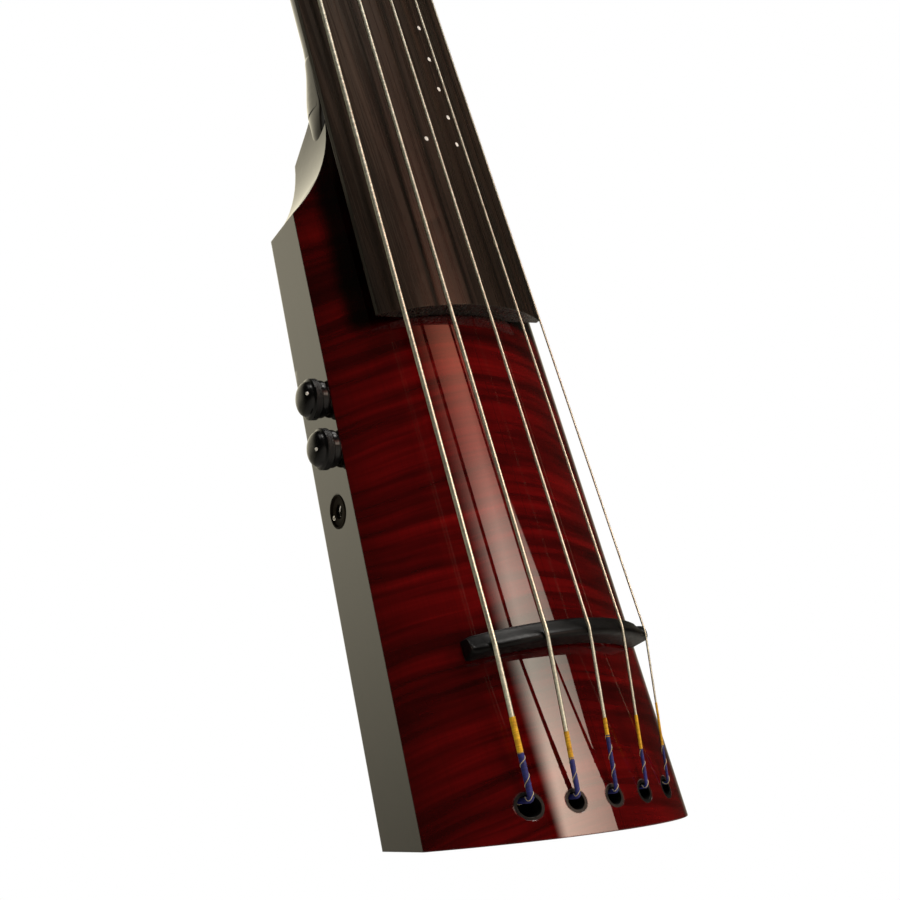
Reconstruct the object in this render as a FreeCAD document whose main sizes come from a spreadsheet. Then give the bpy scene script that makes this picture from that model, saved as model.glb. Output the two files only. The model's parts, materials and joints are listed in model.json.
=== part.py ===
"""Slim five-string upright electric double bass, as an assembly of separate pieces.

Frame: +Z runs up the centre line from the tail end to the head, -Y is the playing
side, +X is the side of the thinnest string.  The origin lies on the crown of the
arched top, at the tail end.  All lengths are millimetres.
"""
import FreeCAD, Part
import math
import os
import re
import Sketcher
from FreeCAD import Placement, Rotation, Vector

DIMENSIONS = {
    # body: a tapered slab under a cylindrical arch, cut off square to neither end
    "arch_radius": 106.0, "plate_thickness": 6.0,
    "half_tail": 94.0, "tail_line": 2.0,
    "half_shoulder": 72.7, "shoulder_line": 330.0,
    "half_heel": 44.7, "heel_line": 385.0, "shoulder_sweep": 68.5,
    "side_draft": 0.2035, "front_margin": 5.0, "depth_limit": 90.0,
    "tail_slant": 0.296, "back_start": 82.0, "back_slant": 0.088,
    # fingerboard and neck
    "scale_length": 1060.0, "bridge_line": 92.3,
    "board_end": 264.0, "board_half_end": 52.5, "board_half_nut": 22.5,
    "board_under_end": 5.0, "board_under_nut": -9.0,
    "board_crown_end": -11.2, "board_crown_nut": -15.5,
    "board_radius_end": 107.0, "board_radius_nut": 78.0,
    "tenon_half": 28.0, "tenon_start": 276.0, "tenon_depth": 36.0,
    "neck_inset": 3.2, "glue_gap": 0.05,
    "heel_depth": 36.0, "heel_sweep": 34.0, "heel_roundness": 2.4, "shaft_roundness": 2.3,
    "shaft_depth_low": 21.0, "shaft_depth_nut": 10.0,
    "heel_start": 369.0, "heel_start_half": 58.0, "heel_start_depth": 58.0,
    "heel_start_roundness": 4.0, "heel_trim_front": 8.0, "heel_blend": 20.0,
    "dot_radius": 1.2, "dot_depth": 2.0, "dot_shift": 1.5,
    "truss_radius": 3.0, "truss_start": 300.0, "truss_end": 1172.0, "truss_drop": 5.0,
    # nut and head
    "nut_length": 6.0, "nut_half": 22.4,
    "head_angle": 12.0, "head_length": 158.0, "head_thickness": 22.0,
    "head_half_low": 25.0, "head_half": 38.0, "head_flare": 26.0, "head_corner": 14.0,
    # strings: pitch of the row at the nut, the bridge and the tail holes
    "string_lift": 17.0, "pitch_bridge": 24.3, "pitch_nut": 9.35, "pitch_tail": 22.0,
    "string_arc_bridge": 99.0, "string_arc_nut": 76.0,
    "string_radius_b": 1.35, "string_radius_e": 1.1, "string_radius_a": 0.85,
    "string_radius_d": 0.7, "string_radius_g": 0.5,
    "hole_line": 16.3, "hole_radius": 4.4, "hole_radius_b": 5.4,
    "collar_wall": 1.0, "collar_depth": 12.0, "mouth_rise": 2.0, "mouth_lift": 1.7,
    "ferrule_radius": 5.0, "ferrule_flange": 6.6, "ferrule_length": 12.0,
    "ferrule_sink": 7.0, "string_exit": 1.8, "ball_radius": 2.9, "ball_pocket": 3.2,
    # bridge
    "bridge_half": 61.0, "bridge_foot_half": 42.0, "bridge_gap": 1.2,
    "bridge_deep": 10.5, "bridge_tail_face": 2.5, "bridge_slope_run": 8.0,
    "bridge_slope_drop": 5.5, "bridge_seat": 0.8, "bridge_tip": 1.6,
    "post_spread": 30.0, "post_radius": 2.5, "post_run": 0.05, "post_length": 22.0,
    "post_wheel_radius": 5.0, "post_wheel_height": 1.0,
    "insert_radius": 4.2, "insert_length": 16.0,
    "pickup_radius": 4.0, "pickup_height": 2.0, "pickup_spread": 16.0,
    # controls on the side below the thickest string
    "knob_depth": 36.0, "volume_line": 234.6, "tone_line": 208.5,
    "knob_stand": 0.8, "knob_radius": 8.7, "knob_length": 12.2, "knob_flange": 10.0,
    "knob_flange_line": 4.2, "knob_flange_half": 0.9, "knob_dome": 1.3,
    "knob_hollow": 7.2, "knob_hollow_depth": 3.6,
    "knurl_low": 6.4, "knurl_high": 10.5, "knurl_depth": 0.35,
    "knob_dot_radius": 0.95, "knob_dot_offset": 6.1, "knob_dot_angle": 20.0,
    "shaft_radius": 3.0, "shaft_run": 0.05, "wall_at_pot": 8.0,
    "pot_radius": 8.0, "pot_height": 9.0, "pot_bush": 4.5, "pot_room": 8.8,
    "pot_nut_radius": 6.6, "pot_nut_height": 2.0,
    "jack_line": 181.1, "jack_depth": 48.0, "cup_radius": 8.1, "cup_wall": 0.8,
    "cup_depth": 9.0, "cup_floor": 1.5, "jack_bush": 3.9, "jack_body": 7.0, "jack_length": 24.0,
    "plug_radius": 3.2, "jack_nut_radius": 4.5, "jack_nut_height": 2.0,
    "cup_screw_offset": 5.9, "cup_screw_head": 1.3, "cup_screw_shank": 0.8, "cup_screw_top": 3.2,
    "cup_screw_length": 6.0, "cup_screw_socket": 0.65,
    "cavity_out": 60.0, "cavity_in": 12.0, "cavity_low": 150.0, "cavity_high": 256.0,
    "cavity_front": 24.0, "cover_lip": 5.0, "cover_thickness": 2.4, "cover_play": 0.2,
    "cover_screw_radius": 1.5, "cover_screw_head": 2.3, "cover_screw_length": 14.0,
    "cover_screw_sink": 1.3,
    "board_wide": 30.0, "board_tall": 44.0, "board_thick": 1.6, "wire_radius": 0.9,
    "stand_line": 118.0, "stand_thread": 4.0, "stand_radius": 8.0, "stand_flange": 13.0,
    "stand_length": 22.0, "stand_bore": 17.0, "stand_flange_height": 2.5,
    # open-gear machine heads
    "post_out": 26.0, "capstan_radius": 4.5, "capstan_rise": 20.0, "capstan_lip": 6.0,
    "bush_radius": 7.0, "bush_flange": 9.0, "bush_flange_height": 1.4, "turn_run": 0.05,
    "plate_low": 11.0, "plate_high": 23.0, "plate_in": 11.5, "plate_out": 11.5,
    "plate_gauge": 1.5, "gear_low": 2.4, "gear_height": 5.0, "gear_radius": 9.0,
    "gear_tooth": 1.1, "worm_offset": 13.1, "worm_height": 5.4, "worm_radius": 3.7,
    "worm_shaft": 2.0, "lug_thick": 2.4, "lug_half": 3.6, "key_reach": 38.0,
    "key_long": 13.0, "key_wide": 10.5, "key_thick": 2.9, "key_neck": 3.0,
    "key_shoulder": 5.2, "key_side_sweep": 24.0,
    "tuner_screw_radius": 1.4, "tuner_screw_head": 2.6, "tuner_screw_length": 13.0,
}
STRINGS = ("b", "e", "a", "d", "g")
GEAR_TEETH = 20
# string: (side of the head its machine head sits on, distance from the nut)
HEAD_PLACES = {"b": (-1, 40.0), "e": (-1, 80.0), "a": (-1, 120.0), "d": (1, 100.0), "g": (1, 60.0)}
# inlaid dots: (semitone above the open string, which string they lie under)
BOARD_DOTS = ((7, 4), (12, 4), (17, 4), (20, 4), (21, 4), (22, 4), (23, 4), (24, 4), (24, 3))

doc = FreeCAD.newDocument("double_bass")
sheet = doc.addObject("Spreadsheet::Sheet", "Dimensions")
for row, (alias, number) in enumerate(DIMENSIONS.items(), start=1):
    sheet.set(f"A{row}", alias)
    sheet.set(f"B{row}", str(number))
    sheet.setAlias(f"B{row}", alias)
doc.recompute()
pieces = []


# ---------------------------------------------------------------- small helpers
def formula(text):
    """Write bare dimension names as references to the sheet's cells."""
    return re.sub(r"[a-z_]+", lambda word: f"Dimensions.{word[0]}" if word[0] in DIMENSIONS else word[0], text)


def value(text):
    """The number that a formula of dimension names gives."""
    return float(sheet.evalExpression(formula(text)))


def bind(thing, **formulas):
    """Bind properties of a document object to formulas of the sheet."""
    for name, text in formulas.items():
        thing.setExpression(name, formula(text))
    return thing


def seat(thing, place=None):
    """Put an object at a Placement, or leave it where it is."""
    if place is not None:
        thing.Placement = place
    return thing


def box(name, long, wide, tall, corner=("0", "0", "0"), place=None):
    """A box whose sizes and local corner are formulas; place then moves it as a whole."""
    base = place or Placement()
    offset = Placement(Vector(*(value(text) for text in corner)), Rotation())
    thing = bind(doc.addObject("Part::Box", name), Length=long, Width=wide, Height=tall)
    return seat(thing, base.multiply(offset))


def rod(name, radius, height, place=None, start="0"):
    """A cylinder along local Z from start."""
    base = place or Placement()
    thing = bind(doc.addObject("Part::Cylinder", name), Radius=radius, Height=height)
    return seat(thing, base.multiply(Placement(Vector(0, 0, value(start)), Rotation())))


def cut(name, base, *tools):
    """base minus every tool."""
    result = doc.addObject("Part::Cut", name)
    result.Base = base
    result.Tool = tools[0] if len(tools) == 1 else fuse(name + "_tools", *tools)
    return result


def fuse(name, *parts):
    """The union of parts."""
    result = doc.addObject("Part::MultiFuse", name)
    result.Shapes = list(parts)
    return result


def common(name, *parts):
    """What all parts share."""
    result = doc.addObject("Part::MultiCommon", name)
    result.Shapes = list(parts)
    return result


def group(name, parts):
    """Separate solids that share one node."""
    result = doc.addObject("Part::Compound", name)
    result.Links = list(parts)
    return result


def solid(name, shape, place=None):
    """A piece whose shape is computed here from the sheet's numbers."""
    thing = doc.addObject("Part::Feature", name)
    thing.Shape = shape
    return seat(thing, place)


def piece(node, thing):
    """Give a finished sub-part its node name and list it for export."""
    thing.Label = node
    pieces.append(thing)
    return thing


def draw(sketch, corners):
    """Draw a closed outline bound to the sheet.

    Each corner is (x, y) or (x, y, radius, side): with a radius, the edge that leaves
    the corner is an arc, whose middle lies to the left (+1) or right (-1) of the chord.
    """
    points = [Vector(value(corner[0]), value(corner[1]), 0) for corner in corners]
    ends = []
    for index, corner in enumerate(corners):
        start, end = points[index], points[(index + 1) % len(points)]
        if len(corner) == 2:
            edge = sketch.addGeometry(Part.LineSegment(start, end), False)
            ends.append((edge, 1, 2))
            continue
        radius, side = value(corner[2]), corner[3]
        chord = end - start
        normal = Vector(-chord.y, chord.x, 0).normalize() * side
        height = math.sqrt(radius ** 2 - chord.Length ** 2 / 4)
        centre = (start + end) * 0.5 - normal * height
        first, last = (end, start) if side > 0 else (start, end)
        angles = [math.atan2(at.y - centre.y, at.x - centre.x) for at in (first, last)]
        if angles[1] < angles[0]:
            angles[1] += 2 * math.pi
        arc = Part.ArcOfCircle(Part.Circle(centre, Vector(0, 0, 1), radius), *angles)
        edge = sketch.addGeometry(arc, False)
        ends.append((edge, 2, 1) if side > 0 else (edge, 1, 2))
        which = sketch.addConstraint(Sketcher.Constraint("Radius", edge, radius))
        sketch.setExpression(f"Constraints[{which}]", formula(corner[2]))
    for index, (edge, start, end) in enumerate(ends):
        following = ends[(index + 1) % len(ends)]
        sketch.addConstraint(Sketcher.Constraint("Coincident", edge, end, following[0], following[1]))
        for axis, number in (("DistanceX", 0), ("DistanceY", 1)):
            at = (points[index].x, points[index].y)[number]
            which = sketch.addConstraint(Sketcher.Constraint(axis, edge, start, at))
            sketch.setExpression(f"Constraints[{which}]", formula(corners[index][number]))
    return sketch


def flat_sketch(name, place, corners):
    """A free-standing outline on any plane."""
    sketch = doc.addObject("Sketcher::SketchObject", name)
    sketch.Placement = place
    return draw(sketch, corners)


def origin_plane(body, role):
    """One of a body's own origin planes or axes."""
    return next(item for item in body.Origin.OriginFeatures if item.Role == role)


def turned(name, corners, place=None):
    """A body turned about its own Z axis; corners are (radius, height)."""
    body = doc.addObject("PartDesign::Body", name)
    sketch = body.newObject("Sketcher::SketchObject", name + "_profile")
    sketch.AttachmentSupport = [(origin_plane(body, "XZ_Plane"), "")]
    sketch.MapMode = "FlatFace"
    draw(sketch, corners)
    spin = body.newObject("PartDesign::Revolution", name + "_turn")
    spin.Profile = sketch
    spin.ReferenceAxis = (sketch, ["V_Axis"])
    spin.Angle = 360
    return seat(body, place)


def prism(name, sketch, length, direction, symmetric=False):
    """A sketch pushed along a direction."""
    result = doc.addObject("Part::Extrusion", name)
    result.Base = sketch
    result.DirMode = "Custom"
    result.Dir = direction
    result.Solid = True
    result.Symmetric = symmetric
    return bind(result, LengthFwd=length)


def between(start, end, radius):
    """A plain round bar from one point to another."""
    return Part.makeCylinder(radius, (end - start).Length, start, end - start)


UPRIGHT = Placement(Vector(0, 0, 0), Rotation(Vector(1, 0, 0), 90))       # local XY -> XZ
SIDEWAYS = Placement(Vector(0, 0, 0), Rotation(Vector(1, 1, 1), 120))     # local XY -> YZ


# ---------------------------------------------------------------- body
def body_outline(name, depth):
    """The body seen from the front, on the plane at one depth behind the crown."""
    inset = f"side_draft * ({depth})"
    half_tail, half_shoulder, half_heel = (f"({half} - {inset})" for half in ("half_tail", "half_shoulder", "half_heel"))
    low = "-front_margin"
    corners = [
        (f"-{half_tail}", low), (half_tail, low),
        (half_shoulder, "shoulder_line", "shoulder_sweep", 1), (half_heel, "heel_line"),
        (f"-{half_heel}", "heel_line", "shoulder_sweep", 1), (f"-{half_shoulder}", "shoulder_line"),
    ]
    place = Placement(Vector(0, value(depth), 0), UPRIGHT.Rotation)
    return flat_sketch(name, place, corners)


def body_blank():
    """The tapered slab with its slanted tail and back, before the arch is carved."""
    slab = doc.addObject("Part::Loft", "slab")
    slab.Sections = [body_outline("front_outline", "-front_margin"), body_outline("back_outline", "depth_limit")]
    slab.Solid = True
    slab.Ruled = True
    tail_depth = "(back_start / (1 + back_slant * tail_slant))"
    profile = flat_sketch("side_outline", SIDEWAYS, [
        ("-front_margin * 2", "-front_margin * 2 * tail_slant"),
        (tail_depth, f"{tail_depth} * tail_slant"),
        ("back_start - back_slant * heel_line", "heel_line"),
        ("-front_margin * 2", "heel_line"),
    ])
    across = prism("side_slab", profile, "half_tail * 3", Vector(1, 0, 0), symmetric=True)
    return common("blank", slab, across)


def heel_trim(blank):
    """Round the shoulders' back edges off into the neck's own section."""
    start = neck_section(value("heel_start"), value("heel_start_half"), board_under(value("heel_start")),
                         value("heel_start_depth"), value("heel_start_roundness"))
    heel = solid("heel_form", Part.makeLoft([start, neck_slice(value("heel_line"))], True, True))
    depth = "(depth_limit - heel_trim_front)"
    block = box("heel_block", "half_tail * 2", depth, "heel_line - heel_start",
                ("-half_tail", "heel_trim_front", "heel_start"))
    return cut("blank_trimmed", blank, cut("heel_waste", block, heel))


def arch(name, radius):
    """The cylinder whose crown is the body's centre line."""
    place = Placement(Vector(0, value("arch_radius"), -value("front_margin") * 4), Rotation())
    return rod(name, radius, "heel_line + front_margin * 8", place)


def board_under(line):
    """Depth of the fingerboard's flat underside at a height on the centre line."""
    run = value("bridge_line + scale_length - board_end")
    share = (line - value("board_end")) / run
    return value("board_under_end") + share * value("board_under_nut - board_under_end")


def board_land():
    """The wedge cleared from the crown so that the fingerboard lies flat on the body."""
    sketch = doc.addObject("Sketcher::SketchObject", "board_land_outline")
    sketch.Placement = SIDEWAYS
    slope = "(board_under_nut - board_under_end) / (bridge_line + scale_length - board_end)"
    draw(sketch, [
        ("-front_margin * 6", "board_end - cover_play"),
        ("board_under_end + glue_gap", "board_end - cover_play"),
        (f"board_under_end + glue_gap + {slope} * (heel_line + 4 - board_end)", "heel_line + 4"),
        ("-front_margin * 6", "heel_line + 4"),
    ])
    return prism("board_land", sketch, "board_half_end * 2 + 8", Vector(1, 0, 0), symmetric=True)


def side_place(line, depth, out="0"):
    """The frame of a fitting on the side wall: local Z points out of the wood."""
    lean = value("(half_tail - half_shoulder) / (shoulder_line - tail_line)")
    draft = value("side_draft")
    normal = Vector(-1, draft, lean).normalize()
    x = -(value("half_tail") - lean * (value(line) - value("tail_line")) - draft * value(depth))
    at = Vector(x, value(depth), value(line)) + normal * value(out)
    front = (Vector(0, -1, 0) + normal * normal.y).normalize()
    across = normal.cross(front)
    return Placement(at, Rotation(front, across, normal, "ZXY"))


def hole_places():
    """Frames of the five tail holes: local Z runs from the top into the wood."""
    places = {}
    direction = Vector(0, 1, value("tail_slant")).normalize()
    for index, name in enumerate(STRINGS):
        x = (index - 2) * value("pitch_tail")
        y = value("arch_radius") - math.sqrt(value("arch_radius") ** 2 - x * x)
        at = Vector(x, y, value("hole_line") + value("tail_slant") * y)
        places[name] = Placement(at, Rotation(Vector(0, 0, 1), direction))
    return places


def hole_radius(name):
    return "hole_radius_b" if name == "b" else "hole_radius"


def back_exit(place):
    """Distance along a tail hole from the top to the slanted back."""
    step = place.Rotation.multVec(Vector(0, 0, 1))
    gap = value("back_start") - value("back_slant") * place.Base.z - place.Base.y
    return gap / (step.y + value("back_slant") * step.z)


def back_place(across, line):
    """The frame of a fitting on the slanted back: local Z points out, local Y down."""
    tilt = math.degrees(math.atan(value("back_slant")))
    turn = Rotation(Vector(1, 0, 0), tilt)
    normal = turn.multVec(Vector(0, 1, 0))
    up = turn.multVec(Vector(0, 0, 1))
    at = Vector(across, value("back_start") - value("back_slant") * line, line)
    return Placement(at, Rotation(up.cross(normal) * -1, up, normal, "ZXY"))


def tunnel(name, place, radius, start, end):
    """A round cutter along local Z between two distances."""
    return rod(name, radius, f"{end} - ({start})", place, start)


def cavity_frame():
    """Middle of the control cavity on the back, with its size."""
    across = -value("(cavity_out + cavity_in) / 2")
    line = value("(cavity_low + cavity_high) / 2")
    return back_place(across, line)


def make_body():
    blank = heel_trim(body_blank())
    places = hole_places()
    tunnels = []
    for name, place in places.items():
        tunnels.append(tunnel(f"bore_{name}", place, hole_radius(name), "-20", "120"))
        collar = f"{hole_radius(name)} + collar_wall"
        tunnels.append(tunnel(f"seat_{name}", place, collar, "-20", "collar_depth"))
        sink = str(back_exit(place)) + " - ferrule_sink"
        tunnels.append(tunnel(f"sink_{name}", place, "ferrule_flange + 0.3", sink, "120"))
    screws = [tunnel(f"insert_bore_{side}", bridge_post_place(side), "insert_radius", "-post_length - 1", "20")
              for side in (-1, 1)]
    lead = tunnel("lead_bore", Placement(Vector(0, 0, value("bridge_line") + 2), Rotation(Vector(0, 0, 1),
                  Vector(0, 1, 0))), "2.5", "-20", "40")
    land = board_land()
    tenon = box("tenon_room", "tenon_half * 2 + glue_gap * 2", "tenon_depth + 20 + glue_gap",
                "heel_line + 10 - tenon_start + glue_gap", ("-tenon_half - glue_gap", "-20", "tenon_start - glue_gap"))
    screws += [tunnel(f"wheel_sink_{side}", bridge_post_place(side), "post_wheel_radius + 0.4", "0.3", "20")
               for side in (-1, 1)]
    shared = tunnels + screws + [lead, land, tenon]
    for label, line in (("volume", "volume_line"), ("tone", "tone_line")):
        place = side_place(line, "knob_depth")
        shared.append(tunnel(f"{label}_room", place, "pot_room", "-34", "-wall_at_pot"))
        shared.append(tunnel(f"{label}_bore", place, "pot_bush + 0.05", "-34", "5"))

    outer, inner = arch("arch_outer", "arch_radius"), arch("arch_inner", "arch_radius - plate_thickness")
    plate = cut("plate_carved", common("plate_blank", blank, outer), inner)
    plate_cutters = fuse("plate_cutters", *shared)
    top = cut("top_plate_solid", plate, plate_cutters)

    frame = cavity_frame()
    wide, tall = "(cavity_out - cavity_in)", "(cavity_high - cavity_low)"
    room = box("cavity", wide, tall, "cavity_front + 20", (f"-{wide} / 2", f"-{tall} / 2", "-40"), frame)
    lip = box("cover_rebate", f"{wide} + cover_lip * 2", f"{tall} + cover_lip * 2", "20",
              (f"-{wide} / 2 - cover_lip", f"-{tall} / 2 - cover_lip", "-cover_thickness"), frame)
    rooms = [room, lip]
    jack = side_place("jack_line", "jack_depth")
    rooms.append(tunnel("jack_room", jack, "jack_body + 3", "-38", "-cup_depth - 2"))
    rooms.append(tunnel("jack_mouth", jack, "cup_radius + 0.02", "-cup_depth - 2.5", "6"))
    for index, corner in enumerate(cover_corners()):
        rooms.append(tunnel(f"cover_pilot_{index}", corner, "cover_screw_radius + 0.02", "-cover_screw_length - 1", "1"))
    stand = back_place(0, value("stand_line"))
    rooms.append(tunnel("stand_bore_hole", stand, "stand_radius + 0.02", "-stand_length - 0.5", "5"))
    rooms.append(tunnel("stand_flange_hole", stand, "stand_flange + 0.1", "-stand_flange_height", "5"))
    core_blank = common("core_blank", blank, inner)
    core = cut("core_solid", core_blank, fuse("core_cutters", *(shared + rooms)))
    piece("top_plate", top)
    piece("body_core", core)


def cover_corners():
    """Frames of the cover's four screws."""
    half_wide = value("(cavity_out - cavity_in) / 2 + cover_lip / 2")
    half_tall = value("(cavity_high - cavity_low) / 2 + cover_lip / 2")
    frame = cavity_frame()
    return [frame.multiply(Placement(Vector(x * half_wide, y * half_tall, 0), Rotation()))
            for x in (-1, 1) for y in (-1, 1)]


# ---------------------------------------------------------------- neck, board and head
def neck_section(line, half, top, depth, power, drop=0.0):
    """One D-shaped slice of the neck: a rounded back, and a top whose sides may drop."""
    count = 24
    corner = top + drop
    points = []
    for step in range(count + 1):
        angle = math.pi * step / count
        x = -half * math.copysign(abs(math.cos(angle)) ** (2 / power), math.cos(angle))
        y = corner + (depth - corner) * math.sin(angle) ** (2 / power)
        points.append(Vector(x, y, line))
    back = Part.BSplineCurve()
    back.interpolate(points)
    inner = [1 - step / 6 for step in range(1, 12)]
    crown = [Vector(half * share, top + drop * abs(share) ** 3, line) for share in inner]
    front = Part.BSplineCurve()
    front.interpolate([points[-1], *crown, points[0]])
    return Part.Wire([back.toShape(), front.toShape()])


def board_half(line):
    """Half of the fingerboard's width at a height."""
    share = (line - value("board_end")) / value("bridge_line + scale_length - board_end")
    return value("board_half_end") + share * value("board_half_nut - board_half_end")


def neck_slice(line):
    """The neck's slice at a height: boxy at the heel, easing into a round shaft."""
    rise = line - value("heel_line")
    share = min(rise / value("heel_sweep"), 1.0)
    ease = share * share * (3 - 2 * share)
    run = rise / value("bridge_line + scale_length - heel_line")
    shaft = value("shaft_depth_low") + min(run, 1.0) * value("shaft_depth_nut - shaft_depth_low")
    depth = value("heel_depth") + ease * (shaft - value("heel_depth"))
    power = value("heel_roundness") + ease * value("shaft_roundness - heel_roundness")
    inset = value("neck_inset") * (1 - 0.6 * ease) * (1 - min(run, 1.0)) + 0.05
    half = board_half(min(line, value("bridge_line + scale_length"))) - inset
    top = board_under(line)
    drop = max(0.0, arch_depth(half) - top) * max(0.0, 1 - rise / value("heel_blend"))
    return neck_section(line, half, top, depth, power, drop)


def head_place():
    """Frame of the head: local Y runs up the head, local Z out of its front."""
    line = value("bridge_line + scale_length + nut_length")
    tilt = math.radians(value("head_angle"))
    up = Vector(0, math.sin(tilt), math.cos(tilt))
    front = Vector(0, -math.cos(tilt), math.sin(tilt))
    return Placement(Vector(0, value("board_under_nut"), line), Rotation(up.cross(front), up, front, "ZXY"))


def make_neck():
    start, nut_line = value("heel_line"), value("bridge_line + scale_length")
    lines = [start + rise for rise in range(0, int(value("heel_sweep")) + 1, 4)]
    lines += [start + share * (nut_line - start) for share in (0.2, 0.4, 0.7, 1.0)] + [nut_line + 7]
    wires = [neck_slice(line) for line in lines]
    shaft = solid("neck_shaft", Part.makeLoft(wires, True, True))
    tenon = box("tenon", "tenon_half * 2", "tenon_depth", "heel_line + 1 - tenon_start", ("-tenon_half", "0", "tenon_start"))
    land = board_land_copy()
    tenon_fit = cut("tenon_fit", tenon, land)
    frame = head_place()
    outline = flat_sketch("head_outline", frame, [
        ("-head_half_low", "-nut_length"), ("head_half_low", "-nut_length"), ("head_half", "head_flare"),
        ("head_half", "head_length - head_corner", "head_corner", -1),
        ("head_half - head_corner", "head_length"),
        ("-head_half + head_corner", "head_length", "head_corner", -1),
        ("-head_half", "head_length - head_corner"), ("-head_half", "head_flare"),
    ])
    slab = prism("head_slab", outline, "head_thickness", frame.Rotation.multVec(Vector(0, 0, -1)))
    seat_cut = box("nut_seat", "head_half_low * 4", "60", "nut_length + 20",
                   ("-head_half_low * 2", "board_under_nut - 60", "bridge_line + scale_length - 20"))
    whole = fuse("neck_whole", shaft, tenon_fit, slab)
    channel = solid("truss_channel", truss_shape(0.1, 4.6))
    bores = [tunnel(f"head_bore_{name}", place, "bush_radius + 0.02", "-30", "30")
             for name, place in tuner_places().items()]
    pilots = [tunnel(f"head_pilot_{name}_{index}", spot, "tuner_screw_radius + 0.02", "-tuner_screw_length - 0.5", "4")
              for name, place in tuner_places().items() for index, spot in enumerate(tuner_screw_places(place))]
    neck = cut("neck_solid", whole, seat_cut, channel, *(bores + pilots))
    piece("neck", neck)


def board_land_copy():
    """Everything in front of the fingerboard's underside, over the whole neck joint."""
    slope = "(board_under_nut - board_under_end) / (bridge_line + scale_length - board_end)"
    sketch = flat_sketch("tenon_top_outline", SIDEWAYS, [
        ("-front_margin * 6", "board_end"), ("board_under_end", "board_end"),
        (f"board_under_end + {slope} * (heel_line + 20 - board_end)", "heel_line + 20"),
        ("-front_margin * 6", "heel_line + 20"),
    ])
    return prism("tenon_top", sketch, "board_half_end * 3", Vector(1, 0, 0), symmetric=True)


def truss_axis():
    """Direction and start of the truss rod, parallel to the fingerboard's underside."""
    start = value("truss_start")
    end = value("truss_end")
    drop = value("truss_drop")
    return Vector(0, board_under(start) + drop, start), Vector(0, board_under(end) + drop, end)


def truss_shape(play, nut_radius):
    """The rod with its adjusting nut, or the channel it lies in when play is given."""
    start, end = truss_axis()
    along = (end - start).normalize()
    radius = value("truss_radius") + play
    rod_shape = between(start - along * play * 5, end, radius)
    nut_shape = between(end - along * (10 + play * 5), end + along * play * 40, nut_radius + play)
    shape = rod_shape.fuse(nut_shape)
    if play:
        slot = Part.makeBox(radius * 2, 12, (end - start).Length + play * 10, Vector(-radius, -12, -play * 5))
        slot.Placement = Placement(start, Rotation(Vector(0, 0, 1), along))
        shape = shape.fuse(slot)
    return shape


def make_board():
    nut_line = "bridge_line + scale_length"
    sections = []
    for end, line in (("end", "board_end"), ("nut", nut_line)):
        half, under, crown, radius = (f"board_{word}_{end}" for word in ("half", "under", "crown", "radius"))
        rim = f"{crown} + {radius} - sqrt({radius} ^ 2 - {half} ^ 2)"
        place = Placement(Vector(0, 0, value(line)), Rotation())
        sections.append(flat_sketch(f"board_section_{end}", place, [
            (f"-{half}", under), (half, under), (half, rim, radius, 1), (f"-{half}", rim)]))
    loft = doc.addObject("Part::Loft", "board_blank")
    loft.Sections = sections
    loft.Solid = True
    loft.Ruled = True
    spots = []
    for number, (semitone, string) in enumerate(BOARD_DOTS):
        at = board_dot_spot(semitone, string)
        spots.append(rod(f"dot_{number}", "dot_radius", "30", Placement(at, Rotation(Vector(0, 0, 1), Vector(0, -1, 0)))))
    drill = fuse("dot_drills", *spots)
    piece("fingerboard", cut("fingerboard_solid", loft, drill))
    piece("position_dots", common("dots_solid", loft, drill))


def board_dot_spot(semitone, string):
    """Bottom of one inlaid dot."""
    reach = value("scale_length") * 2 ** (-semitone / 12)
    line = value("bridge_line") + reach
    share = reach / value("scale_length")
    pitch = value("pitch_bridge") + value("pitch_nut - pitch_bridge") * share
    x = (string - 3) * (pitch + value("dot_shift"))
    run = (line - value("board_end")) / value("bridge_line + scale_length - board_end")
    crown = value("board_crown_end") + run * value("board_crown_nut - board_crown_end")
    radius = value("board_radius_end") + run * value("board_radius_nut - board_radius_end")
    return Vector(x, crown + radius - math.sqrt(radius ** 2 - x * x) + value("dot_depth"), line)


# ---------------------------------------------------------------- strings
def string_points(name):
    """Bend points of one string: ball end, tail hole, bridge, nut and capstan."""
    step = STRINGS.index(name) - 2
    hole = hole_places()[name]
    ball = hole.multVec(Vector(0, 0, back_exit(hole) - value("ferrule_sink") - 4.2))
    rise = value("mouth_rise") + (0.8 if name == "b" else 0)
    into = hole.Rotation.multVec(Vector(0, 0, 1))
    up = hole.Rotation.multVec(Vector(0, -1, 0))
    up = up if up.z > 0 else up * -1
    mouth = hole.Base + up * rise - into * value("mouth_lift")
    points = [ball, mouth]
    for pitch, arc, line in (("pitch_bridge", "string_arc_bridge", "bridge_line"),
                             ("pitch_nut", "string_arc_nut", "bridge_line + scale_length")):
        x = step * value(pitch)
        y = -value("string_lift") + value(arc) - math.sqrt(value(arc) ** 2 - x * x)
        points.append(Vector(x, y, value(line)))
    side, along = HEAD_PLACES[name]
    inner = value("post_out - capstan_radius") - value(f"string_radius_{name}") - 0.05
    points.append(head_place().multVec(Vector(side * inner, along, value("capstan_rise") * 0.5)))
    return points


def string_shape(name, play=0.0):
    """One string as a round wire with rounded bends, grown by play for cutters."""
    points = string_points(name)
    radius = value(f"string_radius_{name}") + play
    shape = between(points[0], points[1], radius)
    for start, end in zip(points[1:], points[2:]):
        shape = shape.fuse(Part.makeSphere(radius, start)).fuse(between(start, end, radius))
    return shape.removeSplitter()


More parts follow.
